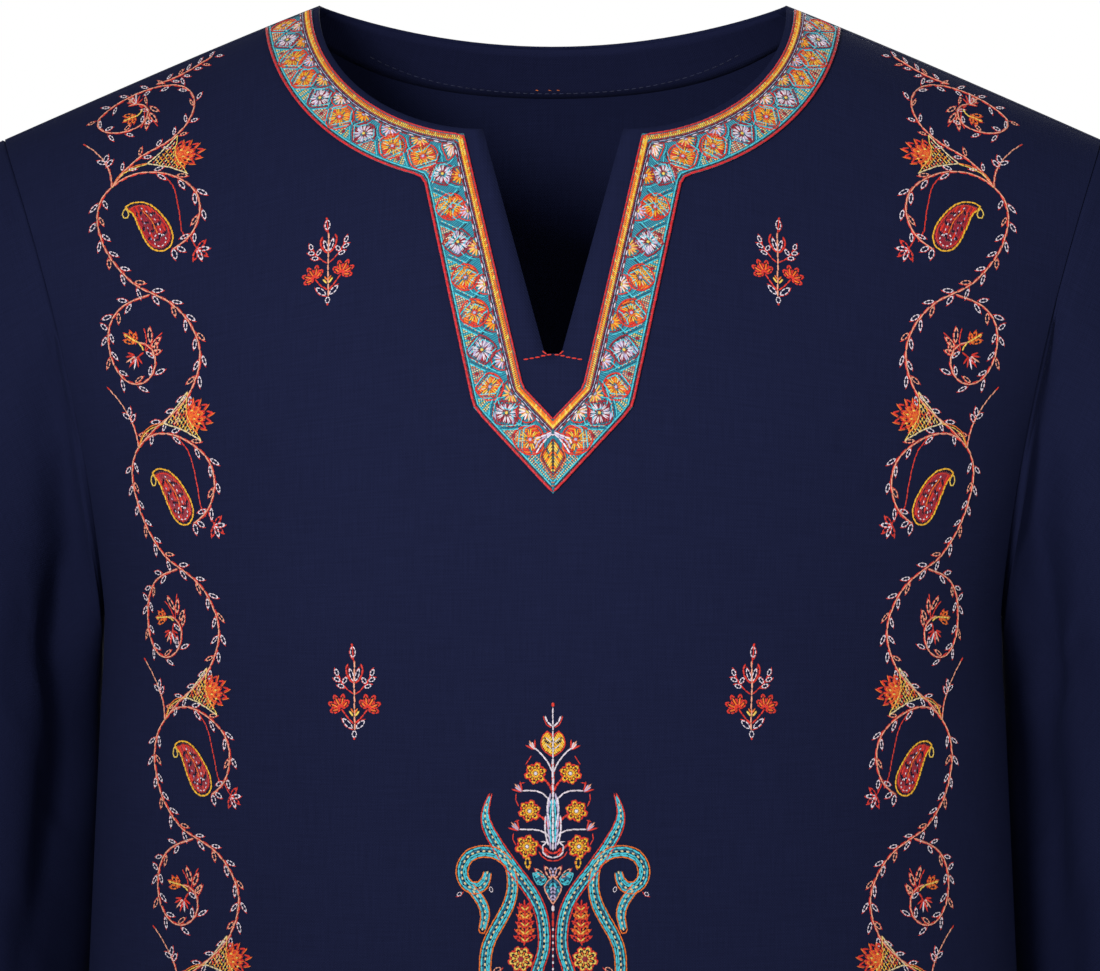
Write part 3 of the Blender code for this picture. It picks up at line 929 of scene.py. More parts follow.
def curve(points, gap=0.5, closed=False):
    """A smooth line through points, as close-set points."""
    points = np.array(points, float)
    ends = (points[-1:], points[:2]) if closed else (2 * points[:1] - points[1:2],
                                                     2 * points[-1:] - points[-2:-1])
    line = np.concatenate([ends[0], points, ends[1]])
    out = []
    for a, b, c, d in zip(line, line[1:], line[2:], line[3:]):
        count = max(int(np.linalg.norm(c - b) / gap), 1)
        t = np.arange(count)[:, None] / count
        out.append(through(a, b, c, d, t))
    out.append(line[-2:-1])
    return np.concatenate(out)


def spaced(line, pitch, shift=0.0):
    """Points and directions at an even pitch along a line, looking a little ahead and back."""
    look = 0.4
    run = run_along(line)
    count = max(int(round((run[-1] - shift) / pitch)), 1)
    spots = shift + (run[-1] - shift) * np.arange(count + 1) / count
    at = np.stack([np.interp(spots, run, line[:, k]) for k in (0, 1)], -1)
    ahead = np.stack([np.interp(spots + look, run, line[:, k]) for k in (0, 1)], -1)
    behind = np.stack([np.interp(spots - look, run, line[:, k]) for k in (0, 1)], -1)
    return at, unit(ahead - behind)


def stem(line, colour, long=3.2, wide=0.9, high=0.55, lift=0.0, over=0.3, wander=0.08, off=0.0):
    """Stem stitch: grains end over end along a line, each a little aslant."""
    at, way = spaced(np.asarray(line, float), long)
    across = np.stack([-way[:, 1], way[:, 0]], -1)
    at = at + across * off
    out = []
    for k in range(len(at) - 1):
        lean = chance.normal(0, wander, 2)
        start = at[k] + across[k] * lean[0] - way[k] * over
        stop = at[k + 1] + across[k + 1] * lean[1] + way[k + 1] * over
        out.append((*start, *stop, wide, high, lift, colour))
    return out


def dash(line, colour, long, gap, wide=0.8, high=0.5, lift=0.0, shift=0.0):
    """Running stitch along a line."""
    at, way = spaced(np.asarray(line, float), long + gap, shift)
    return [(*(p - w * long / 2), *(p + w * long / 2), wide, high, lift, colour)
            for p, w in zip(at, way)]


def bearing(angle):
    return np.array([math.cos(angle), math.sin(angle)])


def leaf(base, angle, long, wide, colour=WHITE, tip=RED, thread=0.5, high=0.45, lift=0.05):
    """A lazy-daisy leaf: a loop round an open core, caught down at its tip, on a short stalk."""
    way = bearing(angle)
    side = np.array([-way[1], way[0]]) * wide / 2
    base = np.asarray(base, float)
    end = base + way * long
    low, high_up = base + way * long * 0.3, base + way * long * 0.68
    out = []
    for turn in (1, -1):
        corners = (base, low + side * 0.95 * turn, low + side * 0.9 * turn, high_up + side * 0.9 * turn,
                   end)
        for a, b in ((0, 1), (2, 3), (3, 4)):
            out.append((*corners[a], *corners[b], thread, high, lift, colour))
    if tip is not None:
        halo = (base - way * 1.0, low + side * 1.3, high_up + side * 1.3, end + way * 0.8)
        for a, b in zip(halo, halo[1:]):
            out.append((*a, *b, thread * 0.85, high * 0.75, lift - 0.05, tip))
    return out


def stems(*rows):
    """Stem stitch along several curves: each row is a curve's points and then what stem takes."""
    return [stitch for points, *values in rows for stitch in stem(curve(points), *values)]


def leaves(*rows):
    return [stitch for row in rows for stitch in leaf(*row)]


def fill(outline, colours, slant, pitch=0.75, longest=4.0, wide=None, high=0.5, lift=0.0, inset=0.15):
    """Satin stitch across an outline at a slant in degrees, in one colour or a few by turns."""
    outline = np.asarray(outline, float)
    c, s = math.cos(math.radians(slant)), math.sin(math.radians(slant))
    turned = np.stack([outline[:, 0] * c + outline[:, 1] * s, -outline[:, 0] * s + outline[:, 1] * c], -1)
    low, high_edge = turned[:, 1].min(), turned[:, 1].max()
    rows = max(int(round((high_edge - low) / pitch)), 1)
    out = []
    following = np.roll(turned, -1, axis=0)
    for row in range(rows):
        level = low + (row + 0.5) * (high_edge - low) / rows
        hits = []
        for (x0, y0), (x1, y1) in zip(turned, following):
            if (y0 <= level) != (y1 <= level):
                hits.append(x0 + (x1 - x0) * (level - y0) / (y1 - y0))
        hits.sort()
        for x0, x1 in zip(hits[::2], hits[1::2]):
            x0, x1 = x0 + inset, x1 - inset
            if x1 - x0 < 0.35:
                continue
            parts = max(int(math.ceil((x1 - x0) / longest)), 1)
            cuts = np.linspace(x0, x1, parts + 1)
            cuts[1:-1] += chance.uniform(-0.12, 0.12, parts - 1) * longest
            for a, b in zip(cuts, cuts[1:]):
                colour = colours[int(chance.integers(len(colours)))]
                out.append((a * c - level * s, a * s + level * c, b * c - level * s, b * s + level * c,
                            wide or pitch * 1.12, high, lift, colour))
    return out


def moved(stitches, a, b, mirror=1, turn=0.0, scale=1.0):
    """Stitches put at another place, mirrored or turned."""
    c, s = math.cos(turn) * scale, math.sin(turn) * scale
    out = []
    for a0, b0, a1, b1, wide, high, lift, colour in stitches:
        a0, a1 = a0 * mirror, a1 * mirror
        out.append((a + a0 * c - b0 * s, b + a0 * s + b0 * c, a + a1 * c - b1 * s, b + a1 * s + b1 * c,
                    wide, high, lift, colour))
    return out


def closed(points):
    return curve(points, closed=True)


def border_place(run, across):
    """Places on the border: run in mm from the right-hand shoulder seam, across from its neck edge."""
    run, across = np.asarray(run), np.asarray(across)
    side = np.where(run > BORDER_LONG, -1, 1)
    run = np.clip(np.where(run > BORDER_LONG, 2 * BORDER_LONG - run, run), 0, BORDER_LONG)
    spot = []
    for k in (0, 1):
        inner = np.interp(run, border_run, border_inner[:, k])
        outer = np.interp(run, border_run, border_outer[:, k])
        spot.append(inner + (outer - inner) * across / BORDER_WIDE)
    xs = spot[0] * side
    turns = turn_of(xs, np.minimum(spot[1], ridge(xs)))
    up = outward(front_form, xs, turns)
    return front_form(xs, turns) + up * BORDER_LIFT, up


def along_border(across, step=1.0):
    """A line along one half of the border at this distance from its neck edge."""
    return np.stack([np.arange(0, BORDER_LONG, step),
                     np.full(int(math.ceil(BORDER_LONG / step)), across)], -1)


def straight_line(a0, b0, a1, b1):
    return np.linspace((a0, b0), (a1, b1), max(int(math.hypot(a1 - a0, b1 - b0) / 0.5), 2))


def both_halves(stitches):
    """The border's two halves alike: the second runs back from the point to the other shoulder."""
    return stitches + [(2 * BORDER_LONG - s[0], s[1], 2 * BORDER_LONG - s[2], s[3],
                        *s[4:]) for s in stitches]


def on_border(stitches, run, across, turn=0.0, mirror=1, scale=1.0):
    """Stitches of a motif set true on the border, its first axis along the band and its second outwards."""
    here = border_place(np.array([run]), np.array([across]))[0][0]
    along = (border_place(np.array([run + 0.5]), np.array([across]))[0][0] - here) / (0.5 * MM)
    over = (border_place(np.array([run]), np.array([across + 0.5]))[0][0] - here) / (0.5 * MM)
    ahead = unit(along)
    skew = float(over @ ahead)
    rise = float(np.linalg.norm(over - ahead * skew))
    out = []
    for a0, b0, a1, b1, *rest in moved(stitches, 0, 0, mirror, turn, scale):
        spots = []
        for a, b in ((a0, b0), (a1, b1)):
            deep = b / rise
            spots += [run + (a - deep * skew) / float(np.linalg.norm(along)), across + deep]
        out.append((*spots, *rest))
    return out


# Rims and the gilt rope
rims = []
rims += stem(along_border(0.35), SCARLET, 3.0, 0.8, 0.6, 0.05, 0.7, 0.03)
rims += stem(along_border(3.15), CRIMSON, 2.6, 0.55, 0.5, 0.05)
rims += stem(along_border(3.6), DARK, 3.0, 0.5, 0.35, 0.0)
rims += stem(along_border(3.95), LILAC, 3.4, 0.34, 0.4, 0.08)
rims += stem(along_border(4.35), DARK, 3.0, 0.4, 0.35, 0.0)
rims += stem(along_border(4.85), CRIMSON, 3.0, 0.75, 0.35, 0.0)
rims += dash(along_border(4.8), WHITE, 2.6, 3.0, 0.55, 0.5, 0.15)
rims += stem(along_border(18.05), TURQUOISE, 3.2, 0.75, 0.5, 0.1, 0.6, 0.04)
rims += stem(along_border(18.65), DARK, 3.2, 0.5, 0.4, 0.0, 0.6, 0.02)
rims += stem(along_border(19.5), SCARLET, 3.2, 1.1, 0.8, 0.05, 0.9, 0.03)
rope = []
for spot in np.arange(0.4, BORDER_LONG, 0.82):
    rope += [(spot - 0.25, 0.85, spot + 0.5, 2.0, 0.66, 0.6, 0.1,
              YELLOW if chance.random() < 0.2 else ORANGE),
             (spot - 0.05, 1.75, spot + 0.55, 2.95, 0.66, 0.6, 0.12,
              YELLOW if chance.random() < 0.45 else GOLD)]


# Medallions between crossing turquoise lines, with half flowers on the neck side
MEDALLION_PITCH = 14.8
FIELD_LOW, FIELD_HIGH = 5.2, 17.7


def medallion(kind, scale):
    """A flower in a four-sided frame, worked round a coloured eye."""
    out = []
    tall, broad = 5.7 * scale, 6.1 * scale
    bow = 0.68 if kind == 0 else 0.58
    corners = [(-broad, 0.2), (-broad * bow, -tall * bow), (0.2, -tall), (broad * bow, -tall * bow),
               (broad, 0.2), (broad * bow, tall * bow), (0.0, tall * 1.08), (-broad * bow, tall * bow)]
    frame_line = closed(corners)
    petal, deep, eye = (GOLD, ORANGE, LILAC) if kind == 0 else (WHITE, LILAC, YELLOW)
    ground = (ORANGE, ORANGE, RED) if kind == 0 else (CRIMSON, LILAC, CRIMSON)
    out += fill(frame_line * 0.93, ground, 35 if kind else -40, 0.95, 5.0, wide=1.15, high=0.4)
    out += stem(frame_line, RED if kind == 0 else CRIMSON, 2.4, 0.8, 0.55, 0.15, 0.5, 0.05)
    petals = 8 if kind == 0 else 12
    for k in range(petals):
        angle = 2 * math.pi * k / petals + chance.uniform(-0.1, 0.1)
        reach = (4.7 + chance.uniform(-0.5, 0.3)) * scale
        way = np.array([math.cos(angle), math.sin(angle) * tall / broad])
        side = np.array([-way[1], way[0]]) * (0.42 if kind == 0 else 0.25)
        second = ((YELLOW, CREAM, petal) if kind == 0 else (WHITE, deep, WHITE))[int(chance.integers(3))]
        out += [(*(way * 1.1), *(way * reach + side), 0.62 if kind == 0 else 0.5, 0.5, 0.22, petal),
                (*(way * 1.5 - side), *(way * reach * 0.94 - side * 2.0), 0.55 if kind == 0 else 0.42,
                 0.45, 0.2, second)]
    for k in range(3):
        angle = math.pi * k / 3 + 0.4
        way = bearing(angle) * 0.85
        out.append((*(-way), *way, 0.75, 0.55, 0.32, eye))
    return out


def half_flower(kind):
    """A small fan of petals that opens from the neck side."""
    out = []
    colours = ((WHITE, CREAM), (GOLD, ORANGE), (LILAC, WHITE), (YELLOW, PEACH))[kind]
    for k, angle in enumerate((0.3, 0.72, 1.15, 1.57, 2.0, 2.42, 2.84)):
        way = bearing(angle)
        out += [(*(way * 0.5), *(way * 4.2), 0.85, 0.5, 0.15, colours[k % 2])]
        out += [(*(way * 1.0 + (0.3, 0)), *(way * 3.4 + (0.45, 0)), 0.42, 0.5, 0.22,
                 (ORANGE, colours[(k + 1) % 2])[k % 2])]
    rim = curve([(-4.4, 0.2), (-3.4, 3.2), (0, 5.0), (3.4, 3.2), (4.4, 0.2)])
    out += stem(rim, CRIMSON if kind % 2 else RED, 2.0, 0.6, 0.5, 0.12, 0.4, 0.05)
    out.append((-0.9, 0.5, 0.9, 0.5, 0.7, 0.5, 0.3, (YELLOW, LILAC)[kind % 2]))
    return out


def outer_cell(number):
    """A three-sided cell on the outer edge: cream and orange hatch, a crimson diamond in some."""
    out = []
    for row, half in enumerate((3.9, 3.1, 2.3, 1.5, 0.7)):
        level = -0.55 - row * 0.92
        spots = np.arange(-half, half + 0.01, 0.92)
        for k, spot in enumerate(spots):
            colour = ((CREAM, ORANGE, PEACH), (YELLOW, CREAM, TURQUOISE))[number % 2][(k + row) % 3]
            out.append((spot - 0.34, level + 0.36, spot + 0.34, level - 0.42, 0.62, 0.45, 0.12, colour))
    if number % 3:
        for k in (-1, 0, 1):
            out.append((-1.1 + abs(k) * 0.4, -1.9 + 0.5 * k, 1.1 - abs(k) * 0.4, -1.9 + 0.5 * k, 0.65,
                        0.5, 0.28, CRIMSON))
    for lean in (-1, 1):
        out += stem(straight_line(4.9 * lean, -0.2, 0.3 * lean, -5.6), TURQUOISE, 2.8, 0.7, 0.5, 0.2, 0.4,
                    0.05)
        out += stem(straight_line(5.7 * lean, -0.6, 0.9 * lean, -6.6), DEEP, 2.8, 0.5, 0.45, 0.1, 0.4, 0.05)
        out += stem(straight_line(6.6 * lean, -0.9, 1.3 * lean, -7.4), TURQUOISE, 2.8, 0.6, 0.5, 0.2, 0.4,
                    0.05)
        out += dash(straight_line(6.15 * lean, -1.4, 1.6 * lean, -6.4), (CREAM, PEACH)[number % 2], 0.8,
                    1.0, 0.45, 0.5, 0.25)
        out += stem(straight_line(1.4 * lean, -7.0, 3.6 * lean, -10.2), TURQUOISE, 2.4, 0.6, 0.5, 0.2,
                    0.4, 0.05)
        out += stem(straight_line(0.7 * lean, -7.2, 2.9 * lean, -10.6), DARK, 2.4, 0.45, 0.4, 0.1, 0.4,
                    0.05)
    return out


field = []
runs = []
for first, last in ((6.4, CORNER_RUN - 7.4), (CORNER_RUN + 6.2, FOOT_RUN - 5.4),
                    (FOOT_RUN + 7.0, BORDER_LONG - 12.2)):
    count = max(int(round((last - first) / MEDALLION_PITCH)), 1)
    runs += [first + (last - first) * k / count for k in range(count + 1)]
middle_line = (FIELD_LOW + FIELD_HIGH) / 2 + 0.35
for number, run in enumerate(runs):
    kind = (0, 1, 0, 0, 1)[number % 5]
    field += on_border(medallion(kind, 0.97 + 0.05 * (number % 3)), run,
                       middle_line + (0.3, -0.1, 0.2)[number % 3],
                       turn=(0.1, -0.14, 0.06, 0.16)[number % 4])
    if number + 1 < len(runs):
        half = (runs[number + 1] - run) / 2
        between = run + half
        field += on_border(half_flower(number % 4), between, FIELD_LOW - 0.1)
        field += on_border(outer_cell(number), between, FIELD_HIGH)
        for lean in (-1, 1):
            thread_line = curve([(lean * 5.3, 1.2), (lean * 3.6, 4.8), (lean * 0.5, 6.6)])
            field += on_border(stem(thread_line, TURQUOISE, 2.4, 0.6, 0.5, 0.2, 0.4), between, FIELD_LOW)
laid("border_rims", both_halves(rims + rope), border_place)
laid("border_medallions", both_halves(field), border_place, 0.16)


def height_place(lift):
    """Places on the front by x and height in mm."""
    def where(xs, heights):
        xs, heights = np.asarray(xs) * MM, np.asarray(heights) * MM
        turns = turn_of(xs, np.minimum(heights, ridge(xs)))
        up = outward(front_form, xs, turns)
        return front_form(xs, turns) + up * lift, up
    return where


def mirror_only(stitches):
    return [(-s[0], s[1], -s[2], s[3], *s[4:]) for s in stitches]


def mirrored(stitches):
    return stitches + mirror_only(stitches)


# The leaf at the border's point, between curled petals, over a hatched foot
point = []
blade = [(0.1, -182.4), (2.6, -186.0), (4.5, -189.3), (2.7, -193.2), (0.1, -196.4)]
point += fill(np.array(blade), (GOLD, YELLOW, GOLD, ORANGE), -58, 0.75, 5.0, high=0.6, lift=0.25)
point += stems((blade, CRIMSON, 2.2, 0.65, 0.6, 0.3),
               ([(0.1, -197.5), (2.9, -194.6), (5.2, -189.6), (3.4, -185.6)], ORANGE, 2.2, 0.5, 0.5, 0.2))
for shift, colour, trim in ((0.0, WHITE, CRIMSON), (1.5, LILAC, CRIMSON), (3.0, WHITE, RED)):
    petal = curve([(0.6, -180.6 + shift * 0.3), (2.6 + shift * 0.5, -182.2 + shift * 0.3),
                   (4.8 + shift * 0.8, -185.0 + shift * 0.9), (6.6 + shift * 0.3, -188.0 + shift * 1.3)])
    point += stem(petal, colour, 2.2, 0.8, 0.6, 0.25)
    point += stem(petal, trim, 2.2, 0.45, 0.45, 0.15, off=0.62)
for k in range(13):
    at = np.array([9.6 - k * 0.66, -190.2 - k * 0.68])
    for row, colour in enumerate((CREAM, ORANGE, TURQUOISE, PEACH)):
        spot = at + np.array([-0.68, 0.66]) * row * 0.95
        if spot[0] > 0.5 and spot[1] < -188.4 - (4.6 - spot[0]) * 0.9:
            point.append((*(spot + (-0.35, 0.3)), *(spot + (0.35, -0.3)), 0.6, 0.45, 0.15,
                          (colour, CREAM)[k % 2]))
for a, b in ((0, -198.2), (0, -199.6), (0, -201.0)):
    point.append((a - 0.9, b, a + 0.9, b, 0.7, 0.5, 0.2, (CREAM, PEACH)[int(-b) % 2]))
point += stem(curve([(7.4, -190.6), (5.0, -193.4), (2.2, -197.2), (0.2, -199.4)]), TURQUOISE, 2.2, 0.6,
              0.5, 0.25)
point += [(-0.02, -183.4, -0.02, -190.0, 0.5, 0.6, 0.45, DARK),
          (-0.02, -189.4, -0.02, -195.6, 0.5, 0.6, 0.45, DARK)]
laid("border_point", mirrored(point), height_place(BORDER_LIFT), 0.16)

# ---- Front embroidery ----
# Hand embroidery in silk straight onto the front: two scrolling vines from shoulder to hem, small
# sprigs between them and a tall flower motif on the centre line.
FLAT_TURNS = np.concatenate([np.linspace(-BODY_DROP, 0, 300), np.linspace(0, SEAM_TURN, 260)[1:]])
FLAT_XS = np.linspace(0, 0.25, 700)
FLAT_US = np.arange(0, 300) * MM
flat_points = body_form(FLAT_XS[None], FLAT_TURNS[:, None])
flat_across = run_along(flat_points, 1)
X_AT_U = np.array([np.interp(FLAT_US, row, FLAT_XS) for row in flat_across])


def front_place(line_u):
    """Places on the front from flat cloth: u across from the centre, v down from the shoulder seam."""
    column = body_form(X_AT_U[:, int(line_u)], FLAT_TURNS)
    down = run_along(column) / MM
    down = down[-1] - down

    def where(u, v):
        side = np.sign(u) + (u == 0)
        u = np.clip(np.abs(u), 0, 298)
        row = np.interp(-np.asarray(v), -down, np.arange(len(down)))
        r0 = np.clip(row.astype(int), 0, len(down) - 2)
        c0 = u.astype(int)
        fr, fc = row - r0, u - c0
        x = ((X_AT_U[r0, c0] * (1 - fc) + X_AT_U[r0, c0 + 1] * fc) * (1 - fr)
             + (X_AT_U[r0 + 1, c0] * (1 - fc) + X_AT_U[r0 + 1, c0 + 1] * fc) * fr)
        turns = np.interp(row, np.arange(len(down)), FLAT_TURNS)
        return front_form(x * side, turns), outward(front_form, x * side, turns)
    return where


# Vines
VINE_LINE = 180
VINE_PERIOD = 114.0
VINE_JOINTS = (-52.4, 61.6, 175.6, 286.3, 393.8, 501.3, 608.8, 716.3, 823.8)
VINE_CENTRES = (184.0, 177.5, 168.8, 162.1, 151.5, 144.8, 138.2, 131.6, 125.0)
VINE_BREADTHS = (1.14, 1.11, 1.04, 1.0, 1.0, 1.0, 1.0, 1.0, 1.0)
VINE_END = 806.0
VINE_SLOPES = (0.4, 0.27, 0.1, 0.0, 0.0, 0.0, 0.0, 0.0, 0.0)
MAIN_STEM = [(-11, 0), (-15.4, 5.6), (-17.4, 14.5), (-16.4, 23), (-13.5, 32), (-8.4, 40), (-2.4, 46.4),
             (5, 50.4),
             (12.6, 55), (18.8, 62), (22.6, 71), (22.8, 79), (20, 87), (15, 94.6), (7.4, 101),
             (-1.2, 106.4), (-11, 114)]
LOOP_A = [(-11, 0), (-6, -3.8), (-0.5, -5.6), (5.5, -5.6), (12.4, -3.6), (19.3, 0.8), (23.8, 6),
          (25.6, 13), (24.3, 20),
          (20.6, 26.6), (14, 31.4)]
SPIRAL_B = [(3, 50.5), (-7.6, 54), (-14.4, 59.5), (-17.8, 67.5), (-18, 76), (-15.4, 83), (-10.2, 87.4),
            (-3.8, 87.4),
            (1.5, 83.2), (3.2, 76.8), (0.8, 71.8), (-4, 70.4)]


def scroll(line, leaf_pitch, first=0, last=0, size=1.0):
    """A stem of two rows, red under peach, with pairs of small looped leaves on red stalks."""
    line = curve(line)
    out = stem(line, RED, 4.2, 1.2, 0.35, 0.0, 0.3, 0.1)
    out += stem(line, PEACH, 3.4, 0.6, 0.5, 0.25, 0.45, 0.07)
    at, way = spaced(line, leaf_pitch)
    pairs = list(zip(at, way))[1 + first:len(at) - last]
    for number, (p, w) in enumerate(pairs):
        heading = math.atan2(w[1], w[0])
        for side in (-1, 1):
            spread = side * (0.5 + chance.uniform(-0.14, 0.2))
            base = p + np.array([-w[1], w[0]]) * side * 0.85 + w * (chance.uniform(-0.8, 0.8) + side * 0.9)
            out += leaf(base, heading + spread, (4.5 + chance.uniform(-0.5, 0.6)) * size,
                        (1.5 + chance.uniform(-0.25, 0.2)) * size,
                        WHITE if (number + side) % 4 else PEACH)
    return out


def paisley():
    """A curled paisley: crimson seed stitches in a red and gold outline, with white dashes."""
    outline = closed([(-5.4, 10.6), (-0.5, 8.8), (5, 10.6), (10.2, 16.2), (13.8, 23.2), (13.7, 29),
                      (9.6, 32.2),
                      (4.8, 30.4), (1.8, 25), (-0.4, 19), (-2.4, 14.0)])
    middle = outline.mean(axis=0)
    out = fill(middle + (outline - middle) * 0.94, (CRIMSON, CRIMSON, CRIMSON, RED), 62, 0.85, 6.0,
               wide=1.2, high=0.4)
    out += stem(middle + (outline - middle) * 0.84, RED, 2.4, 0.6, 0.5, 0.08, 0.4)
    out += stems(([(1.8, 13.0), (5.6, 18.2), (7.8, 24.0)], ORANGE, 2.2, 0.6, 0.5, 0.15),
                 ([(5.2, 17.4), (8.6, 18.0)], RED, 2.2, 0.6, 0.5, 0.2))
    out += stem(outline, GOLD, 2.2, 0.8, 0.6, 0.15)
    out += stem(closed([(-5.4, 11.2), (-6.6, 13.4), (-6.4, 15.8), (-4.4, 16.0), (-3.8, 13.8)]), YELLOW,
                1.7, 0.55, 0.5, 0.1)
    out += dash(curve([(1.6, 12.2), (5.4, 15.6), (8.4, 20.4), (9.6, 25.0)]), WHITE, 1.3, 1.2, 0.5, 0.5, 0.3)
    out += dash(curve([(1.4, 17.0), (4.2, 22.0), (5.2, 26.4)]), LILAC, 1.1, 1.6, 0.45, 0.5, 0.3)
    out += dash(closed([(7.0, 25.2), (9.8, 24.6), (11.4, 27.2), (9.6, 29.8), (6.8, 29.0)]), WHITE, 1.2,
                0.6, 0.55, 0.5, 0.32)
    return out


def cone_flower():
    """A cone of yellow stitches, open like a trumpet, with looped red petals at its mouth."""
    out = []
    for off in (0.0, 1.0):
        out += stem(curve([(-10.6, -0.8 + off), (-7.2, -6.2 + off), (-2.4, -9.0 + off),
                           (3.7, -10.2 + off * 0.4)]),
                    YELLOW if off else ORANGE, 2.8, 0.55, 0.5, 0.1)
    cone = [(5.2, -10.2), (10.4, -15.4), (15.2, -20.8), (15.0, -12.4), (19.4, -4.0), (11.8, -7.6)]
    out += fill(np.array(cone), (YELLOW, ORANGE, CREAM), 128, 1.25, 2.2, wide=0.55, high=0.4)
    out += fill(np.array(cone), (GOLD, RED, YELLOW), 60, 1.7, 2.0, wide=0.5, high=0.45, lift=0.1)
    for edge in ([(3.7, -9.9), (9.8, -15.6), (16.2, -22.6)], [(3.7, -9.9), (12.0, -7.4), (20.6, -2.8)]):
        out += stem(curve(edge), CREAM, 2.4, 0.7, 0.55, 0.15)
    out += stem(curve([(16.2, -22.6), (15.2, -12.6), (20.6, -2.8)]), YELLOW, 2.4, 0.55, 0.5, 0.15)
    for angle, long, start in ((-1.15, 7.4, 0.5), (-0.8, 8.4, 1.2), (-0.45, 9.4, 1.8), (-0.12, 10.4, 2.0),
                               (0.2, 9.6, 2.0),
                               (0.55, 8.4, 1.6), (0.95, 6.8, 0.8), (-0.95, 5.2, 1.0), (-0.55, 5.8, 1.4),
                               (-0.2, 6.4, 1.6),
                               (0.15, 6.2, 1.6), (0.6, 5.4, 1.4), (-0.35, 3.6, 1.0), (0.1, 3.8, 1.0)):
        way = bearing(angle)
        base = np.array([14.9, -12.6]) + way * start
        out += leaf(base, angle, long, 2.5, RED if long > 7 else ORANGE, (RED, ORANGE)[long > 7], 0.8,
                    0.5, 0.12)
    for a, b in ((17.6, -15.0), (18.4, -11.6), (17.4, -8.6), (20.4, -13.4), (20.6, -9.8)):
        out.append((a - 0.7, b, a + 0.7, b, 0.8, 0.55, 0.3, YELLOW))
    return out


def spiral_flower(turned):
    """The flower at the heart of the spiral: yellow and orange petals, a red sprig and looped leaves."""
    out = []
    for angle, long in ((-3.3, 5.2), (-2.8, 6.2), (-2.3, 5.4), (-1.8, 4.2)):
        out += leaf((-2.0, -1.4), angle, long, 1.7, ORANGE, RED, 0.7)
    out += stem(curve([(2.6, 0.4), (0.4, -1.8), (-3.0, -2.4), (-7.4, -3.4)]), YELLOW, 2.0, 0.75, 0.55, 0.15)
    for base, angle, long in (((5.6, -2.0), -1.1, 6.0), ((4.8, -3.6), -1.9, 6.6), ((6.2, 1.0), -0.7, 5.0)):
        out += leaf(base, angle, long, 1.8, PEACH, RED, 0.6)
    out += stems(([(3.6, 0.6), (5.6, -4.0), (8.6, -9.4)], RED, 2.2, 0.6, 0.5),
                 ([(3.4, 0.2), (2.6, -5.0), (0.4, -8.6)], RED, 2.2, 0.6, 0.5),
                 ([(2.6, 1.4), (0.6, 4.0), (-1.2, 7.6)], RED, 2.2, 0.9, 0.5))
    for angle, long, colour in ((1.1, 5.4, RED), (1.5, 6.4, WHITE), (1.9, 6.8, RED), (2.3, 6.2, PEACH),
                                (2.7, 5.4, RED),
                                (3.1, 4.4, RED), (0.6, 4.6, RED)):
        way = bearing(angle)
        base = np.array([-0.2, 3.6])
        out.append((*(base + way * 0.6), *(base + way * long), 0.8, 0.5, 0.1, colour))
    out += leaf((-0.8, 4.2), 1.9, 3.6, 1.6, WHITE, None)
    return moved(out, 0, 0, turn=turned)


def vine_repeat(number):
    """One repeat of the vine from joint to joint: stem, loop with paisley, cone flower and spiral."""
    out = scroll(MAIN_STEM, 8.6, 0, 1)
    out += scroll(LOOP_A, 9.6, 1, 1)
    out += scroll(SPIRAL_B, 8.8, 0, 1)
    out += stem(curve([(9.5, -4.4), (14.6, 2.8), (16.8, 14.2), (17.9, 24), (20, 28.4)]), RED, 2.6, 0.6, 0.4)
    out += paisley()
    out += cone_flower()
    out += moved(spiral_flower((0.0, 0.35, -0.3)[number % 3]), -4.2, 72.5)
    out += leaves(((14, 31.4), 1.35, 4.6, 2.1), ((15.6, 30.6), 0.5, 4.0, 1.9))
    for turned, colour in ((-0.9, RED), (-0.1, WHITE), (0.6, RED), (1.2, WHITE), (1.9, RED)):
        out += leaf((24.0, 32.0), turned, 5.0, 1.7, colour, RED, 0.65)
    out += stem(curve([(21.2, 26.4), (22.6, 29.6), (24.6, 32.4)]), RED, 2.0, 0.6, 0.45)
    tendril = curve([(-11, 0), (-11.4, -7), (-14.2, -14), (-17.6, -19.6), (-21.6, -24.2)])
    out += stem(tendril, PEACH, 2.8, 0.6, 0.45, 0.1)
    out += stem(tendril[:len(tendril) // 2], RED, 3.0, 1.1, 0.35)
    for base, angle in (((-13.2, -12.0), -2.6), ((-13.6, -12.8), -1.3), ((-13.0, -10.6), -0.9)):
        out += leaf(base, angle, 4.2, 1.8)
    out.append((-21.2, -23.8, -23.0, -25.6, 0.7, 0.5, 0.1, RED))
    out += leaf((-17.8, 64.5), -2.4, 3.8, 1.8)
    return out


vine = []
joint_runs = VINE_PERIOD * np.arange(len(VINE_JOINTS))
for number in range(1, len(VINE_JOINTS) - 1):
    for s in vine_repeat(number):
        downs = np.interp([s[1] + joint_runs[number], s[3] + joint_runs[number]], joint_runs, VINE_JOINTS)
        if downs.max() > VINE_END:
            continue
        middle_down = downs.mean()
        centre = np.interp(middle_down, VINE_JOINTS, VINE_CENTRES)
        breadth = np.interp(middle_down, VINE_JOINTS, VINE_BREADTHS)
        slope = np.interp(middle_down, VINE_JOINTS, VINE_SLOPES) * breadth
        vine.append((centre - s[0] * breadth, downs[0] + slope * (s[0] - MAIN_STEM[0][0]),
                     centre - s[2] * breadth, downs[1] + slope * (s[2] - MAIN_STEM[0][0]), *s[4:]))
vine_where = front_place(VINE_LINE)
laid("vine_left", vine, vine_where)
laid("vine_right", mirror_only(vine), vine_where)

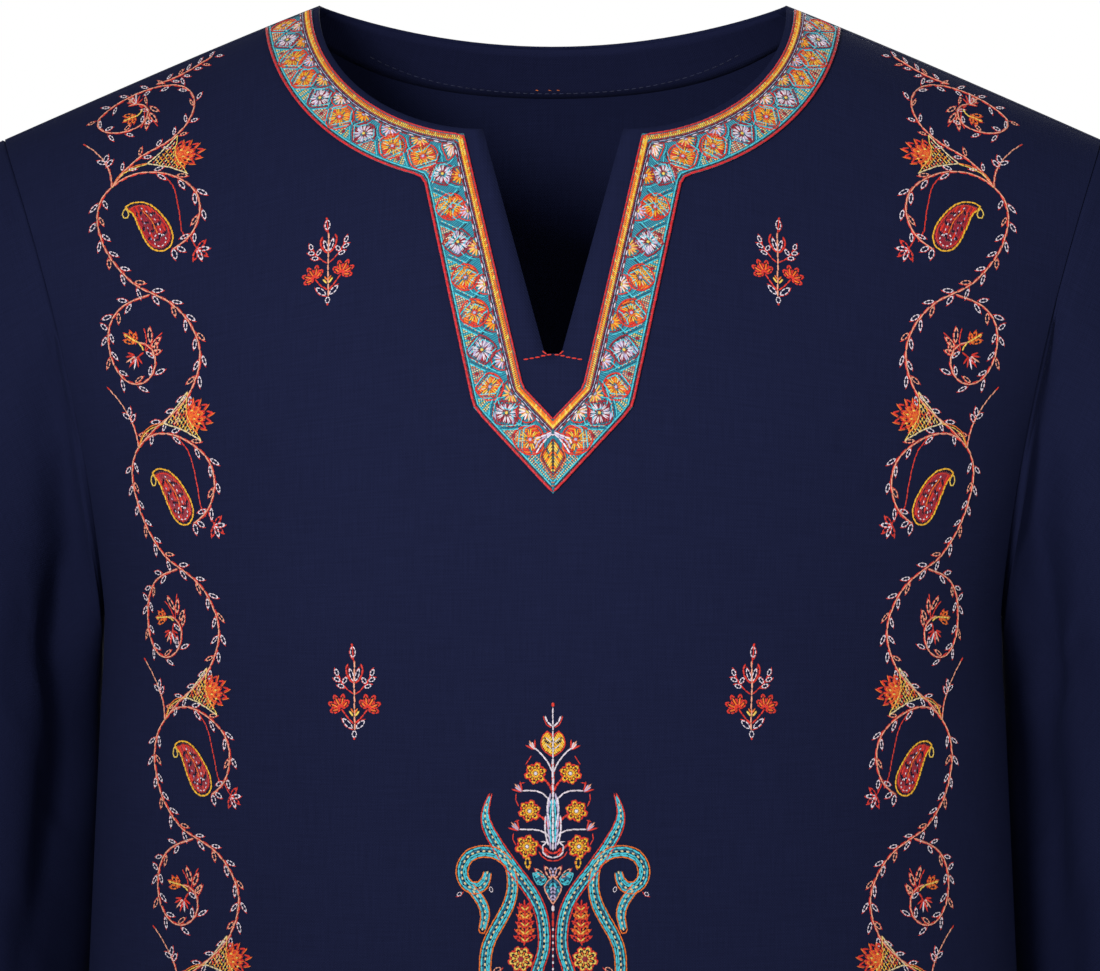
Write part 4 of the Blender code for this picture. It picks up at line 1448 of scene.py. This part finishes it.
# At the shoulders each vine ends in one wide scroll, with a leafy twig along the shoulder
TOP_SCROLL = [(180.6, -77), (175.6, -70.6), (168, -64.4), (158.4, -59.2), (150.4, -51.7), (147.4, -42.9),
              (151.4, -36.4),
              (160, -34.9), (172, -38), (182, -43.6), (188.6, -49.8), (186.6, -54.4), (178.4, -55.4),
              (170, -52.4),
              (166.6, -46), (170.5, -42.8), (175.5, -43.6)]
shoulder = scroll(TOP_SCROLL, 8.0, 0, 1, 0.72)
shoulder += moved(spiral_flower(0.2), 171.6, -46.2, mirror=-1, scale=0.86)
shoulder += scroll([(164.4, -34.4), (156, -31.4), (148, -26.8), (141.5, -22.6)], 5.4, 0, 0, 0.6)
top_where = height_place(0.0)
laid("shoulder_scrolls", mirrored(shoulder), top_where)

# Sprigs
SPRIG_LINE = 95
SPRIGS = ((92, 142.6), (80, 318), (78, 493), (76, 668))


def sprig():
    """A small flowering sprig, 37 mm tall, about its own centre."""
    out = []
    out += stems(([(0, 6.5), (0.1, 14), (0, 21.5), (-0.3, 34)], PEACH, 2.8, 0.75, 0.5, 0.1),
                 ([(1, 0.4), (0.7, 3), (0.1, 8)], RED, 1.8, 0.6, 0.5))
    out += leaf((0.6, 5.2), -1.55, 4.7, 2.2)
    out.append((0.6, 0.6, 1.4, -0.6, 0.9, 0.6, 0.1, RED))
    for side in (-1, 1):
        petal = [(side * 0.3, 15.2), (side * 2.6, 13.2), (side * 3.6, 10.2), (side * 2.6, 7.7)]
        out += stem(curve(petal), RED, 2.2, 0.85, 0.5)
        out += leaf((side * 0.3, 14.6), -1.57 + side * 0.32, 5.6, 1.5, WHITE)
        twig = curve([(side * 0.4, 19.6), (side * 3.4, 17.4), (side * 5.6, 14.6), (side * 7, 11.7)])
        out += stem(twig, RED, 2.4, 0.6, 0.45)
        for base, angle in (((6.9, 12.4), -1.2), ((5.9, 14.4), -0.4), ((4.2, 16.9), -0.3),
                            ((4.9, 15.4), -2.2)):
            out += leaf((base[0] * side, base[1]), angle if side > 0 else math.pi - angle, 3.0, 1.5)
        limb = curve([(side * 0.3, 31.4), (side * 3.0, 28.8), (side * 5.4, 25.6)])
        out += stem(limb, RED, 2.4, 0.7, 0.5)
        for angle, long in ((0.2, 4.6), (-0.42, 5.8), (-1.05, 6.2), (-1.7, 5.8), (-2.3, 4.4)):
            heading = angle if side > 0 else math.pi - angle
            way = bearing(heading)
            base = np.array([side * 5.4, 25.6])
            out += leaf(base + way * 0.4, heading, long, 2.2, RED, None, 0.8, 0.55, 0.08)
            out.append((*(base + way * 1.0), *(base + way * long * 0.86), 0.8, 0.6, 0.05, ORANGE))
        out += [(side * 0.3, 28.6, side * 2.2, 26.2, 0.85, 0.55, 0.2, YELLOW),
                (side * 0.2, 27.2, side * 1.5, 25.2, 0.7, 0.55, 0.22, ORANGE)]
        out += leaf((side * 0.7, 33.4), -0.75 if side > 0 else -2.4, 5.4 + side * 0.5, 2.0)
    out += leaf((0, 34.2), 1.57, 2.9, 1.9, WHITE, None)
    out.append((0, 36.8, 0, 38.0, 0.9, 0.55, 0.1, RED))
    return out


sprigs = []
for across, down in SPRIGS:
    for side in (-1, 1):
        sprigs += moved(sprig(), across * side, down - 18.7, mirror=side)
laid("sprigs", sprigs, front_place(SPRIG_LINE))

# Centre motif: a flowering tree between two turquoise horns that curl outwards
MOTIF_TOP = 348.4
MOTIF_END = 166.0


def band(line, widths, rim, ground, middle):
    """A tapering band: rows of floss laid along a line, a rim, and beads of seed stitch in its middle."""
    line = curve(line)
    run = run_along(line)
    half = np.interp(run / run[-1], np.linspace(0, 1, len(widths)), widths) / 2
    way = unit(np.gradient(line, axis=0))
    side = np.stack([-way[:, 1], way[:, 0]], -1)
    out = []
    for number, off in enumerate((-0.72, -0.3, 0.3, 0.72)):
        wide = half[:, None] > (0.35 if number in (0, 3) else 0.8)
        row = line + side * off * half[:, None]
        if wide.sum() > 8:
            out += stem(row[wide[:, 0]], ground[number % len(ground)], 3.4, 0.85, 0.5, 0.05, 0.5, 0.1)
    for turn in (-1, 1):
        edge = line + side * (half[:, None] + 0.2) * turn
        out += stem(edge, rim, 2.6, 0.6, 0.55, 0.1, 0.45, 0.05)
    inside = line[half > 0.8]
    if len(inside) > 8:
        out += dash(inside, middle, 1.5, 0.75, 0.8, 0.6, 0.3)
    return out


def small_flower(a, b, size, petal=GOLD, eye=WHITE, rim=RED, count=6):
    """A round flower of looped petals about a pale eye, in a scalloped red outline."""
    out = []
    spot = np.array([a, b])
    edge = []
    for k in range(count):
        angle = 2 * math.pi * k / count + 0.3
        way = bearing(angle)
        side = np.array([-way[1], way[0]])
        out += leaf(spot + way * 0.8, angle, size, size * 0.52, petal, None, 0.8, 0.55, 0.12)
        out.append((*(spot + way * 1.3), *(spot + way * size * 0.86), 0.6, 0.55, 0.1, ORANGE))
        edge.append(spot + way * (size + 1.1) - side * 0.9)
        edge.append(spot + way * (size + 1.1) + side * 0.9)
        notch = 2 * math.pi * (k + 0.5) / count + 0.3
        edge.append(spot + bearing(notch) * size * 0.78)
    out += stem(closed(edge), rim, 1.8, 0.8, 0.45, 0.0, 0.35, 0.05)
    for k in range(3):
        angle = math.pi * k / 3
        way = bearing(angle) * (0.95 if eye != CRIMSON else 1.5)
        out.append((a - way[0], b - way[1], a + way[0], b + way[1], 0.7 if eye != CRIMSON else 1.5, 0.65,
                    0.3, eye))
    return out


def tulip(a, b, lean, size=1.0, inner=WHITE):
    """A bud of red outer petals and pale inner ones, opening upwards."""
    out = []
    for angle, long, colour in ((-0.55, 4.6, RED), (0.55, 4.6, RED), (-0.2, 3.8, inner),
                                (0.2, 3.8, inner), (0, 4.8, PEACH)):
        heading = -math.pi / 2 + angle + lean
        way = bearing(heading) * size
        out.append((a, b, a + way[0] * long, b + way[1] * long, 0.75, 0.5, 0.1, colour))
    return out


HORN = [(24.7, 35.7), (26.6, 41), (26.9, 46), (25.0, 51), (21.4, 57), (16.5, 64.3), (11, 71.4),
        (6.8, 77.8), (4.3, 84.9),
        (3.4, 92.7), (4.0, 99.1), (6.1, 105.5), (9.4, 117), (12.4, 130), (13.2, 143), (9.6, 154),
        (3.4, 163), (0.6, 166)]
CURL = [(17.4, 63.3), (22.4, 59.4), (28.1, 58.5), (33.6, 60.5), (36.3, 65.8), (35.2, 71), (31.2, 73.6),
        (27.3, 71.6),
        (26.1, 67)]
CURL_TAIL = [(33.0, 72.8), (30.6, 75.6), (28.1, 79.2), (26.9, 83.4), (28.0, 89.4)]
SECOND = [(17.0, 65.4), (16, 72), (17.4, 79.2), (21, 86.3), (24.6, 92.7), (26.5, 98.4), (26.9, 107),
          (24.8, 120),
          (20.6, 133), (18.0, 145), (13.4, 155), (6.4, 163.6)]


def centre_half():
    """The right half of the motif, from the centre line outwards."""
    out = []
    # golden leaf at the top, under two small curved leaves
    blade = curve([(0.1, 13.2), (1.9, 10.4), (4.0, 12.6), (4.9, 15.8), (3.4, 18.8), (0.1, 20.8)])
    out += fill(blade, (GOLD, GOLD, ORANGE, YELLOW), 55, 0.8, 5.0, high=0.5)
    out += stem(blade, RED, 2.0, 0.55, 0.5, 0.1, 0.4, 0.05)
    for height in (13.6, 16.2):
        out.append((0.2, height + 2.0, 3.2, height - 0.6, 0.42, 0.5, 0.32, WHITE))
    out += stems(([(0.4, 8.8), (1.9, 7.6), (3.1, 4.8)], WHITE, 2.0, 0.75, 0.5, 0.1),
                 ([(0.8, 9.4), (2.7, 8.0), (3.8, 4.8)], RED, 2.0, 0.5, 0.4))
    # branches with buds, and flowers between them
    for line in ([(0.2, 27), (2.2, 22.8), (5.0, 19.4), (7.4, 17.4)],
                 [(0.9, 39.6), (2.4, 36.8), (4.8, 34.9), (8, 34.3), (12, 34.4)],
                 [(1.0, 53.4), (2.6, 51.4), (5.4, 50), (9, 49.8), (13.2, 49.8)]):
        out += stem(curve(line), WHITE, 2.5, 0.7, 0.5, 0.1, 0.5, 0.05)
    for line in ([(0.3, 34.4), (1.6, 31.8), (4.0, 29.6)], [(1.6, 49.6), (3.4, 45.6), (6.2, 43.8)],
                 [(1.6, 60.6), (5, 56.6), (7, 54.4)]):
        out += stem(curve(line), RED, 2.2, 0.95, 0.5, 0.05)
    out += tulip(7.2, 18.2, 0.55, 0.95)
    out += tulip(12.2, 35.0, 0.75, 1.0, LILAC)
    out += tulip(13.4, 50.4, 0.75, 1.05, LILAC)
    out += small_flower(6.9, 27.5, 3.3)
    out += small_flower(9.3, 42.5, 3.3)
    out += small_flower(10.3, 56.6, 3.6)
    for line in ([(8.6, 20.6), (10.8, 24.0)], [(14.6, 35.6), (14.8, 38.4), (13.6, 40.6)],
                 [(15.8, 51.4), (16.0, 54.2), (14.8, 56.2)],
                 [(11.2, 31.2), (13.4, 31.4)], [(13.4, 46.2), (15.2, 46.8)]):
        out += stem(curve(line), RED, 2.2, 0.5, 0.45, 0.0)
    # lily blades up the stem, bowl, pendants
    for line, colour in (([(0.9, 57.6), (1.6, 51), (2.2, 45), (1.0, 35.6)], LILAC),
                         ([(1.8, 56), (3.2, 50.6), (2.9, 44.6)], WHITE),
                         ([(0.8, 55), (1.0, 47), (0.6, 38)], TURQUOISE),
                         ([(0.9, 49), (2.4, 41.6), (1.6, 37)], WHITE)):
        out += stem(curve(line), colour, 2.8, 0.85, 0.5, 0.12, 0.5)
    out += stems(([(0.1, 61.2), (2.6, 60.4), (4.4, 58.2), (4.2, 55.8), (2.6, 54.8)], WHITE, 2.2, 0.7,
                  0.55, 0.2),
                 ([(0.1, 59.4), (2.0, 58.8), (3.2, 57.2)], RED, 1.8, 0.95, 0.5, 0.15),
                 ([(0.1, 62.4), (3.4, 61.6), (5.6, 58.6)], RED, 2.2, 0.6, 0.45, 0.1),
                 ([(1.8, 54.9), (4.8, 54.6)], WHITE, 2.2, 0.5, 0.5, 0.2))
    out += leaves(((10.2, 60.8), 1.62, 4.6, 1.9, GOLD, ORANGE, 0.7),
                  ((0.6, 69.4), -1.1, 5.6, 1.7, PEACH, CRIMSON, 0.65),
                  ((0.4, 68.6), -1.4, 3.8, 1.2, LILAC, None, 0.5),
                  ((3.4, 68.8), -0.75, 5.0, 1.6, PEACH, RED, 0.5))
    leafage = [(2.4, 69.4), (5.4, 67.0), (8.2, 67.2), (6.8, 70.8), (4.8, 72.2)]
    out += fill(np.array(leafage), (TURQUOISE, DEEP, WHITE), 35, 0.85, 3.4, high=0.45)
    out += stem(closed(leafage), TURQUOISE, 1.8, 0.45, 0.5, 0.1)
    diamond = [(0.1, 68.4), (2.2, 70.6), (3.8, 73.2), (2.2, 76.2), (0.1, 79.4)]
    out += fill(np.array(diamond), (TURQUOISE, LILAC, DEEP), 60, 0.8, 3.0, high=0.5, lift=0.05)
    out += stem(np.array(diamond), PEACH, 2.0, 0.6, 0.5, 0.15)
    # the bands
    for line, widths in ((HORN, (0.5, 3.9, 4.6, 4.5, 4.3, 4.2, 4.0, 3.8, 3.4, 2.4, 0.8)),
                         (CURL, (3.2, 4.0, 4.2, 4.2, 4.0, 3.8, 2.6)),
                         (CURL_TAIL, (2.8, 3.4, 3.2, 2.4)),
                         (SECOND, (3.0, 4.2, 4.2, 4.1, 3.9, 3.4, 2.6, 1.0))):
        out += band(line, widths, ORANGE if line is not HORN else RED,
                    (TURQUOISE, DEEP, TURQUOISE, TURQUOISE), CREAM)
    out += stem(curve([(26.6, 89.8), (28.2, 92.0), (29.6, 89.4)]), ORANGE, 1.8, 0.55, 0.5, 0.1)
    out += leaves(((25.0, 72.6), 1.9, 2.4, 1.4, WHITE, None, 0.4),
                  ((36.4, 75.0), 0.6, 2.2, 1.4, WHITE, RED, 0.4))
    # compartment: a bushy flower over daisies
    out += stem(curve([(11.4, 77.8), (11.2, 83), (10.8, 90), (11.6, 96)]), RED, 2.4, 0.7, 0.5, 0.05)
    for number, height in enumerate((82.0, 85.2, 88.4, 91.6, 94.4)):
        for side in (-1, 1):
            for angle, long in ((0.55, 3.0 + 0.45 * number), (1.05, 2.6 + 0.42 * number)):
                heading = -math.pi / 2 + side * angle
                out += leaf((11.1 + side * 0.3, height), heading, min(long, 4.6), 1.3,
                            ORANGE if number % 2 else RED, RED, 0.7, 0.5, 0.1)
            out.append((11.1, height, 11.1 + side * 1.6, height - 1.6, 0.6, 0.6, 0.3, YELLOW))
    for a, b, size in ((12.8, 101.4, 4.0), (16.2, 112.4, 3.8), (14.6, 124, 3.6), (13.6, 134.4, 3.2)):
        out += small_flower(a, b, size, YELLOW, CRIMSON, RED, 8)
    for a, b, angle in ((8.6, 107.0, 2.4), (20.6, 105.0, 0.4), (20.4, 118, 0.9), (10.6, 118, 2.4),
                        (14.4, 141, 1.2)):
        out += leaf((a, b), angle, 3.4, 1.7, PEACH, RED)
    # between the horns
    out += stem(curve([(0.3, 112), (3.0, 120), (5.6, 128), (6.4, 138), (3.8, 148), (0.3, 155)]), RED, 2.5,
                0.6, 0.5, 0.05)
    out += leaf((1.0, 116), 1.2, 5.0, 2.0, WHITE, RED)
    for a, b in ((2.4, 126), (3.4, 134), (2.8, 142)):
        out += small_flower(a, b, 1.8, ORANGE, WHITE, CRIMSON)
    return out


motif = mirrored([s for s in centre_half() if max(s[1], s[3]) < MOTIF_END + 2])
motif += stem(straight_line(0, 1.5, 0, 10.5), WHITE, 2.4, 0.6, 0.5, 0.1)
motif += stem(straight_line(0, 21.5, 0, 58), WHITE, 2.6, 0.95, 0.55, 0.15)
motif += stem(straight_line(0, 23, 0, 36), RED, 2.6, 1.4, 0.35, 0.0)
motif.append((0, -0.8, 0, 1.2, 1.3, 0.6, 0.1, RED))
motif += stem(straight_line(0, 10.5, 0, 21.5), WHITE, 2.4, 0.6, 0.5, 0.35)
motif.append((0, 79.8, 0, 82.6, 1.3, 0.7, 0.15, WHITE))
motif += stem(straight_line(0, 79.6, 0, 88.6), RED, 2.6, 0.95, 0.45)
motif += dash(straight_line(0, 89.6, 0, 108), WHITE, 1.3, 1.5, 0.8, 0.6, 0.2)
motif += stem(straight_line(0, 88.6, 0, 108), CRIMSON, 2.6, 0.5, 0.4)
laid("centre_motif", [(s[0], s[1] + MOTIF_TOP, s[2], s[3] + MOTIF_TOP, *s[4:]) for s in motif],
     front_place(0))

# ---- Sewing ----
# Lockstitch in navy thread: the hems, cuffs, side vents and the facing's lower edge, each a row of
# short stitches pulled a little into the cloth.  A red bar of running stitch closes the slit's foot.
SEW_LONG, SEW_GAP = 2.3, 0.7


def body_place(form):
    """Places on the body: x in mm and the turn in thousandths."""
    def where(xs, turns):
        xs, turns = np.asarray(xs) * MM, np.asarray(turns) / 1000
        return form(xs, turns), outward(form, xs, turns)
    return where


def sewn_row(ends, form, colour=NAVY, wide=0.42, high=0.3, long=SEW_LONG, gap=SEW_GAP):
    """Stitches along a line of (x, turn) on the body."""
    line = np.array(ends, float)
    places = form(line[:, 0], line[:, 1])
    run = run_along(places) / MM
    out = []
    for start in np.arange(0.4, run[-1] - long, long + gap):
        spot = []
        for r in (start, start + long):
            spot += [np.interp(r, run, line[:, 0]) / MM, np.interp(r, run, line[:, 1]) * 1000]
        out.append((*spot, wide, high, 0.0, colour))
    return out


def side_edge(turn):
    """The x of a panel's side edge at a turn, with its vent."""
    drop = float(drop_of(turn))
    seam = (1 - (vent_at(drop) / CHEST_BACK) ** ACROSS_POWER) ** (1 / ACROSS_POWER)
    return seam * float(reach_of(turn))


HEM_TURN_UP = 20 * MM
for name, form, sign, base in (("front_sewing", front_form, -1, 0.0),
                               ("back_sewing", back_form, 1, math.pi)):
    sewing = []
    hem = base + sign * (BODY_DROP - HEM_TURN_UP)
    limit = side_edge(hem) * 0.955
    sewing += sewn_row([(x, hem) for x in np.linspace(-limit, limit, 160)], form)
    for side in (-1, 1):
        vent = []
        for fall in np.linspace(BODY_DROP - HEM_TURN_UP, BODY_DROP - VENT - 12 * MM, 60):
            turn = base + sign * fall
            vent.append((side * side_edge(turn) * 0.962, turn))
        sewing += sewn_row(vent, form)
    laid(name, sewing, body_place(form), 0.2)

tack = []
for side in (-1, 1):
    for x, z in zip(np.linspace(1.6, 10.8, 5), (-148.4, -148.8, -149.4, -149.8, -150.2)):
        tack.append((side * (x - 1.2), z, side * (x + 1.1), z - 0.15, 0.6, 0.5, 0.1, RED))
tack += [(-4.4, -146.8, -2.4, -148.4, 0.6, 0.5, 0.1, RED), (4.4, -146.8, 2.4, -148.4, 0.6, 0.5, 0.1, RED)]
laid("slit_tack", tack, top_where)


def facing_place(xs, heights):
    xs = np.asarray(xs) * MM
    turns = turn_of(xs, np.asarray(heights) * MM, True)
    up = outward(back_form, xs, turns)
    return back_form(xs, turns) - up * (COTTON_THICK + FACING_GAP + FACING_THICK), -up


facing_seam = []
for x in np.arange(-78, 78, 3.1):
    row = [back_neck(v * MM) / MM - (FACING_DEEP / MM - 2.2) * (1 - 0.75 * (v / 97.5) ** 4)
           for v in (x, x + SEW_LONG)]
    facing_seam.append((x, row[0], x + SEW_LONG, row[1], 0.4, 0.3, 0.0, NAVY))
for x in (-7.5, -2.0, 1.6):
    facing_seam.append((x, -31.2, x + 1.5, -31.5, 0.4, 0.35, 0.1, ORANGE))
laid("facing_sewing", facing_seam, facing_place, 0.2)

CUFF_TURN_UP = 20 * MM
for name, side in (("cuff_sewing_left", 1), ("cuff_sewing_right", -1)):
    cloth = bpy.data.objects[("sleeve_left" if side > 0 else "sleeve_right") + "_cloth"]
    ring_index = SLEEVE_RINGS - 1 - int(round(CUFF_TURN_UP / SLEEVE_FLAT[1] * SLEEVE_RINGS))
    ring = np.array([v.co[:] for v in cloth.data.vertices])
    spots = np.linspace(0, len(SLEEVE_ROWS) - 1, SLEEVE_RINGS)
    smooth = sleeve_ring(spots[ring_index])[:-1] * np.array([side, 1, 1])
    ids = [int(np.argmin(np.linalg.norm(ring - p, axis=1))) for p in smooth]
    loop = ring[ids + ids[:1]]
    middle = loop.mean(axis=0)
    run = run_along(loop) / MM

    def cuff_place(r, _):
        at = np.stack([np.interp(r, run, loop[:, k]) for k in range(3)], -1)
        up = at - middle
        up[:, 2] *= 0.2
        return at, unit(up)
    laid(name, [(r, 0, r + SEW_LONG, 0, 0.42, 0.3, 0.15, NAVY) for r in np.arange(0, run[-1] - 3,
                                                                                  SEW_LONG + SEW_GAP)],
         cuff_place, 0.2)

# ---- Floor, light and camera ----
# A plain pale floor well below the hem, a key light from the front left with weak light from the
# front right and behind, a white backdrop and a level camera.
FLOOR_HALF, FLOOR_Z = 4, -1.45
floor_mesh = bpy.data.meshes.new("floor")
floor_corners = [(a * FLOOR_HALF, b * FLOOR_HALF, FLOOR_Z) for a, b in ((-1, -1), (1, -1), (1, 1), (-1, 1))]
floor_mesh.from_pydata(floor_corners, [], [(0, 1, 2, 3)])
floor = bpy.data.objects.new("floor", floor_mesh)
bpy.context.collection.objects.link(floor)
pale = bpy.data.materials.new("pale_floor")
pale.use_nodes = True
for socket, value in (("Base Color", (0.8, 0.8, 0.8, 1)), ("Roughness", 0.9),
                      ("Emission Color", (1, 1, 1, 1)), ("Emission Strength", 0.3)):
    pale.node_tree.nodes["Principled BSDF"].inputs[socket].default_value = value
floor_mesh.materials.append(pale)

SKY = 0.29
SPOT_ANGLE = math.radians(24.5)
world = bpy.data.worlds.new("studio")
bpy.context.scene.world = world
world.use_nodes = True
sky = world.node_tree
backdrop = sky.nodes["Background"]
backdrop.inputs["Color"].default_value = (1, 1, 1, 1)
seen = sky.nodes.new("ShaderNodeLightPath")
glow = sky.nodes.new("ShaderNodeMapRange")
glow.inputs["To Min"].default_value = SKY
glow.inputs["To Max"].default_value = 1.0
sky.links.new(seen.outputs["Is Camera Ray"], glow.inputs["Value"])
sky.links.new(glow.outputs["Result"], backdrop.inputs["Strength"])

for name, kind, power, size, place, aim in (
        ("key", "SPOT", 240, 0.35, (-0.85, -2.3, 0.23), (0, -0.1, -0.11)),
        ("fill", "AREA", 8, 2.0, (1.5, -2.2, 0.1), (0, 0, -0.35)),
        ("back", "AREA", 24, 1.6, (0.7, 2.5, 0.9), (0, 0, -0.4))):
    lamp = bpy.data.lights.new(name, kind)
    lamp.energy = power
    if kind == "SPOT":
        lamp.shadow_soft_size = size
        lamp.spot_size = SPOT_ANGLE
        lamp.spot_blend = 1.0
    else:
        lamp.size = size
    lamp_object = bpy.data.objects.new(name, lamp)
    bpy.context.collection.objects.link(lamp_object)
    lamp_object.location = place
    lamp_object.rotation_euler = (Vector(aim) - Vector(place)).to_track_quat("-Z", "Y").to_euler()

camera = bpy.data.cameras.new("camera")
camera.sensor_width = 36
camera.lens = 212.7
camera_object = bpy.data.objects.new("camera", camera)
camera_object.location = (-0.0012, -2.71, -0.2007)
camera_object.rotation_euler = (math.pi / 2, 0, 0)
bpy.context.collection.objects.link(camera_object)
bpy.context.scene.camera = camera_object
bpy.context.scene.view_settings.view_transform = "Standard"
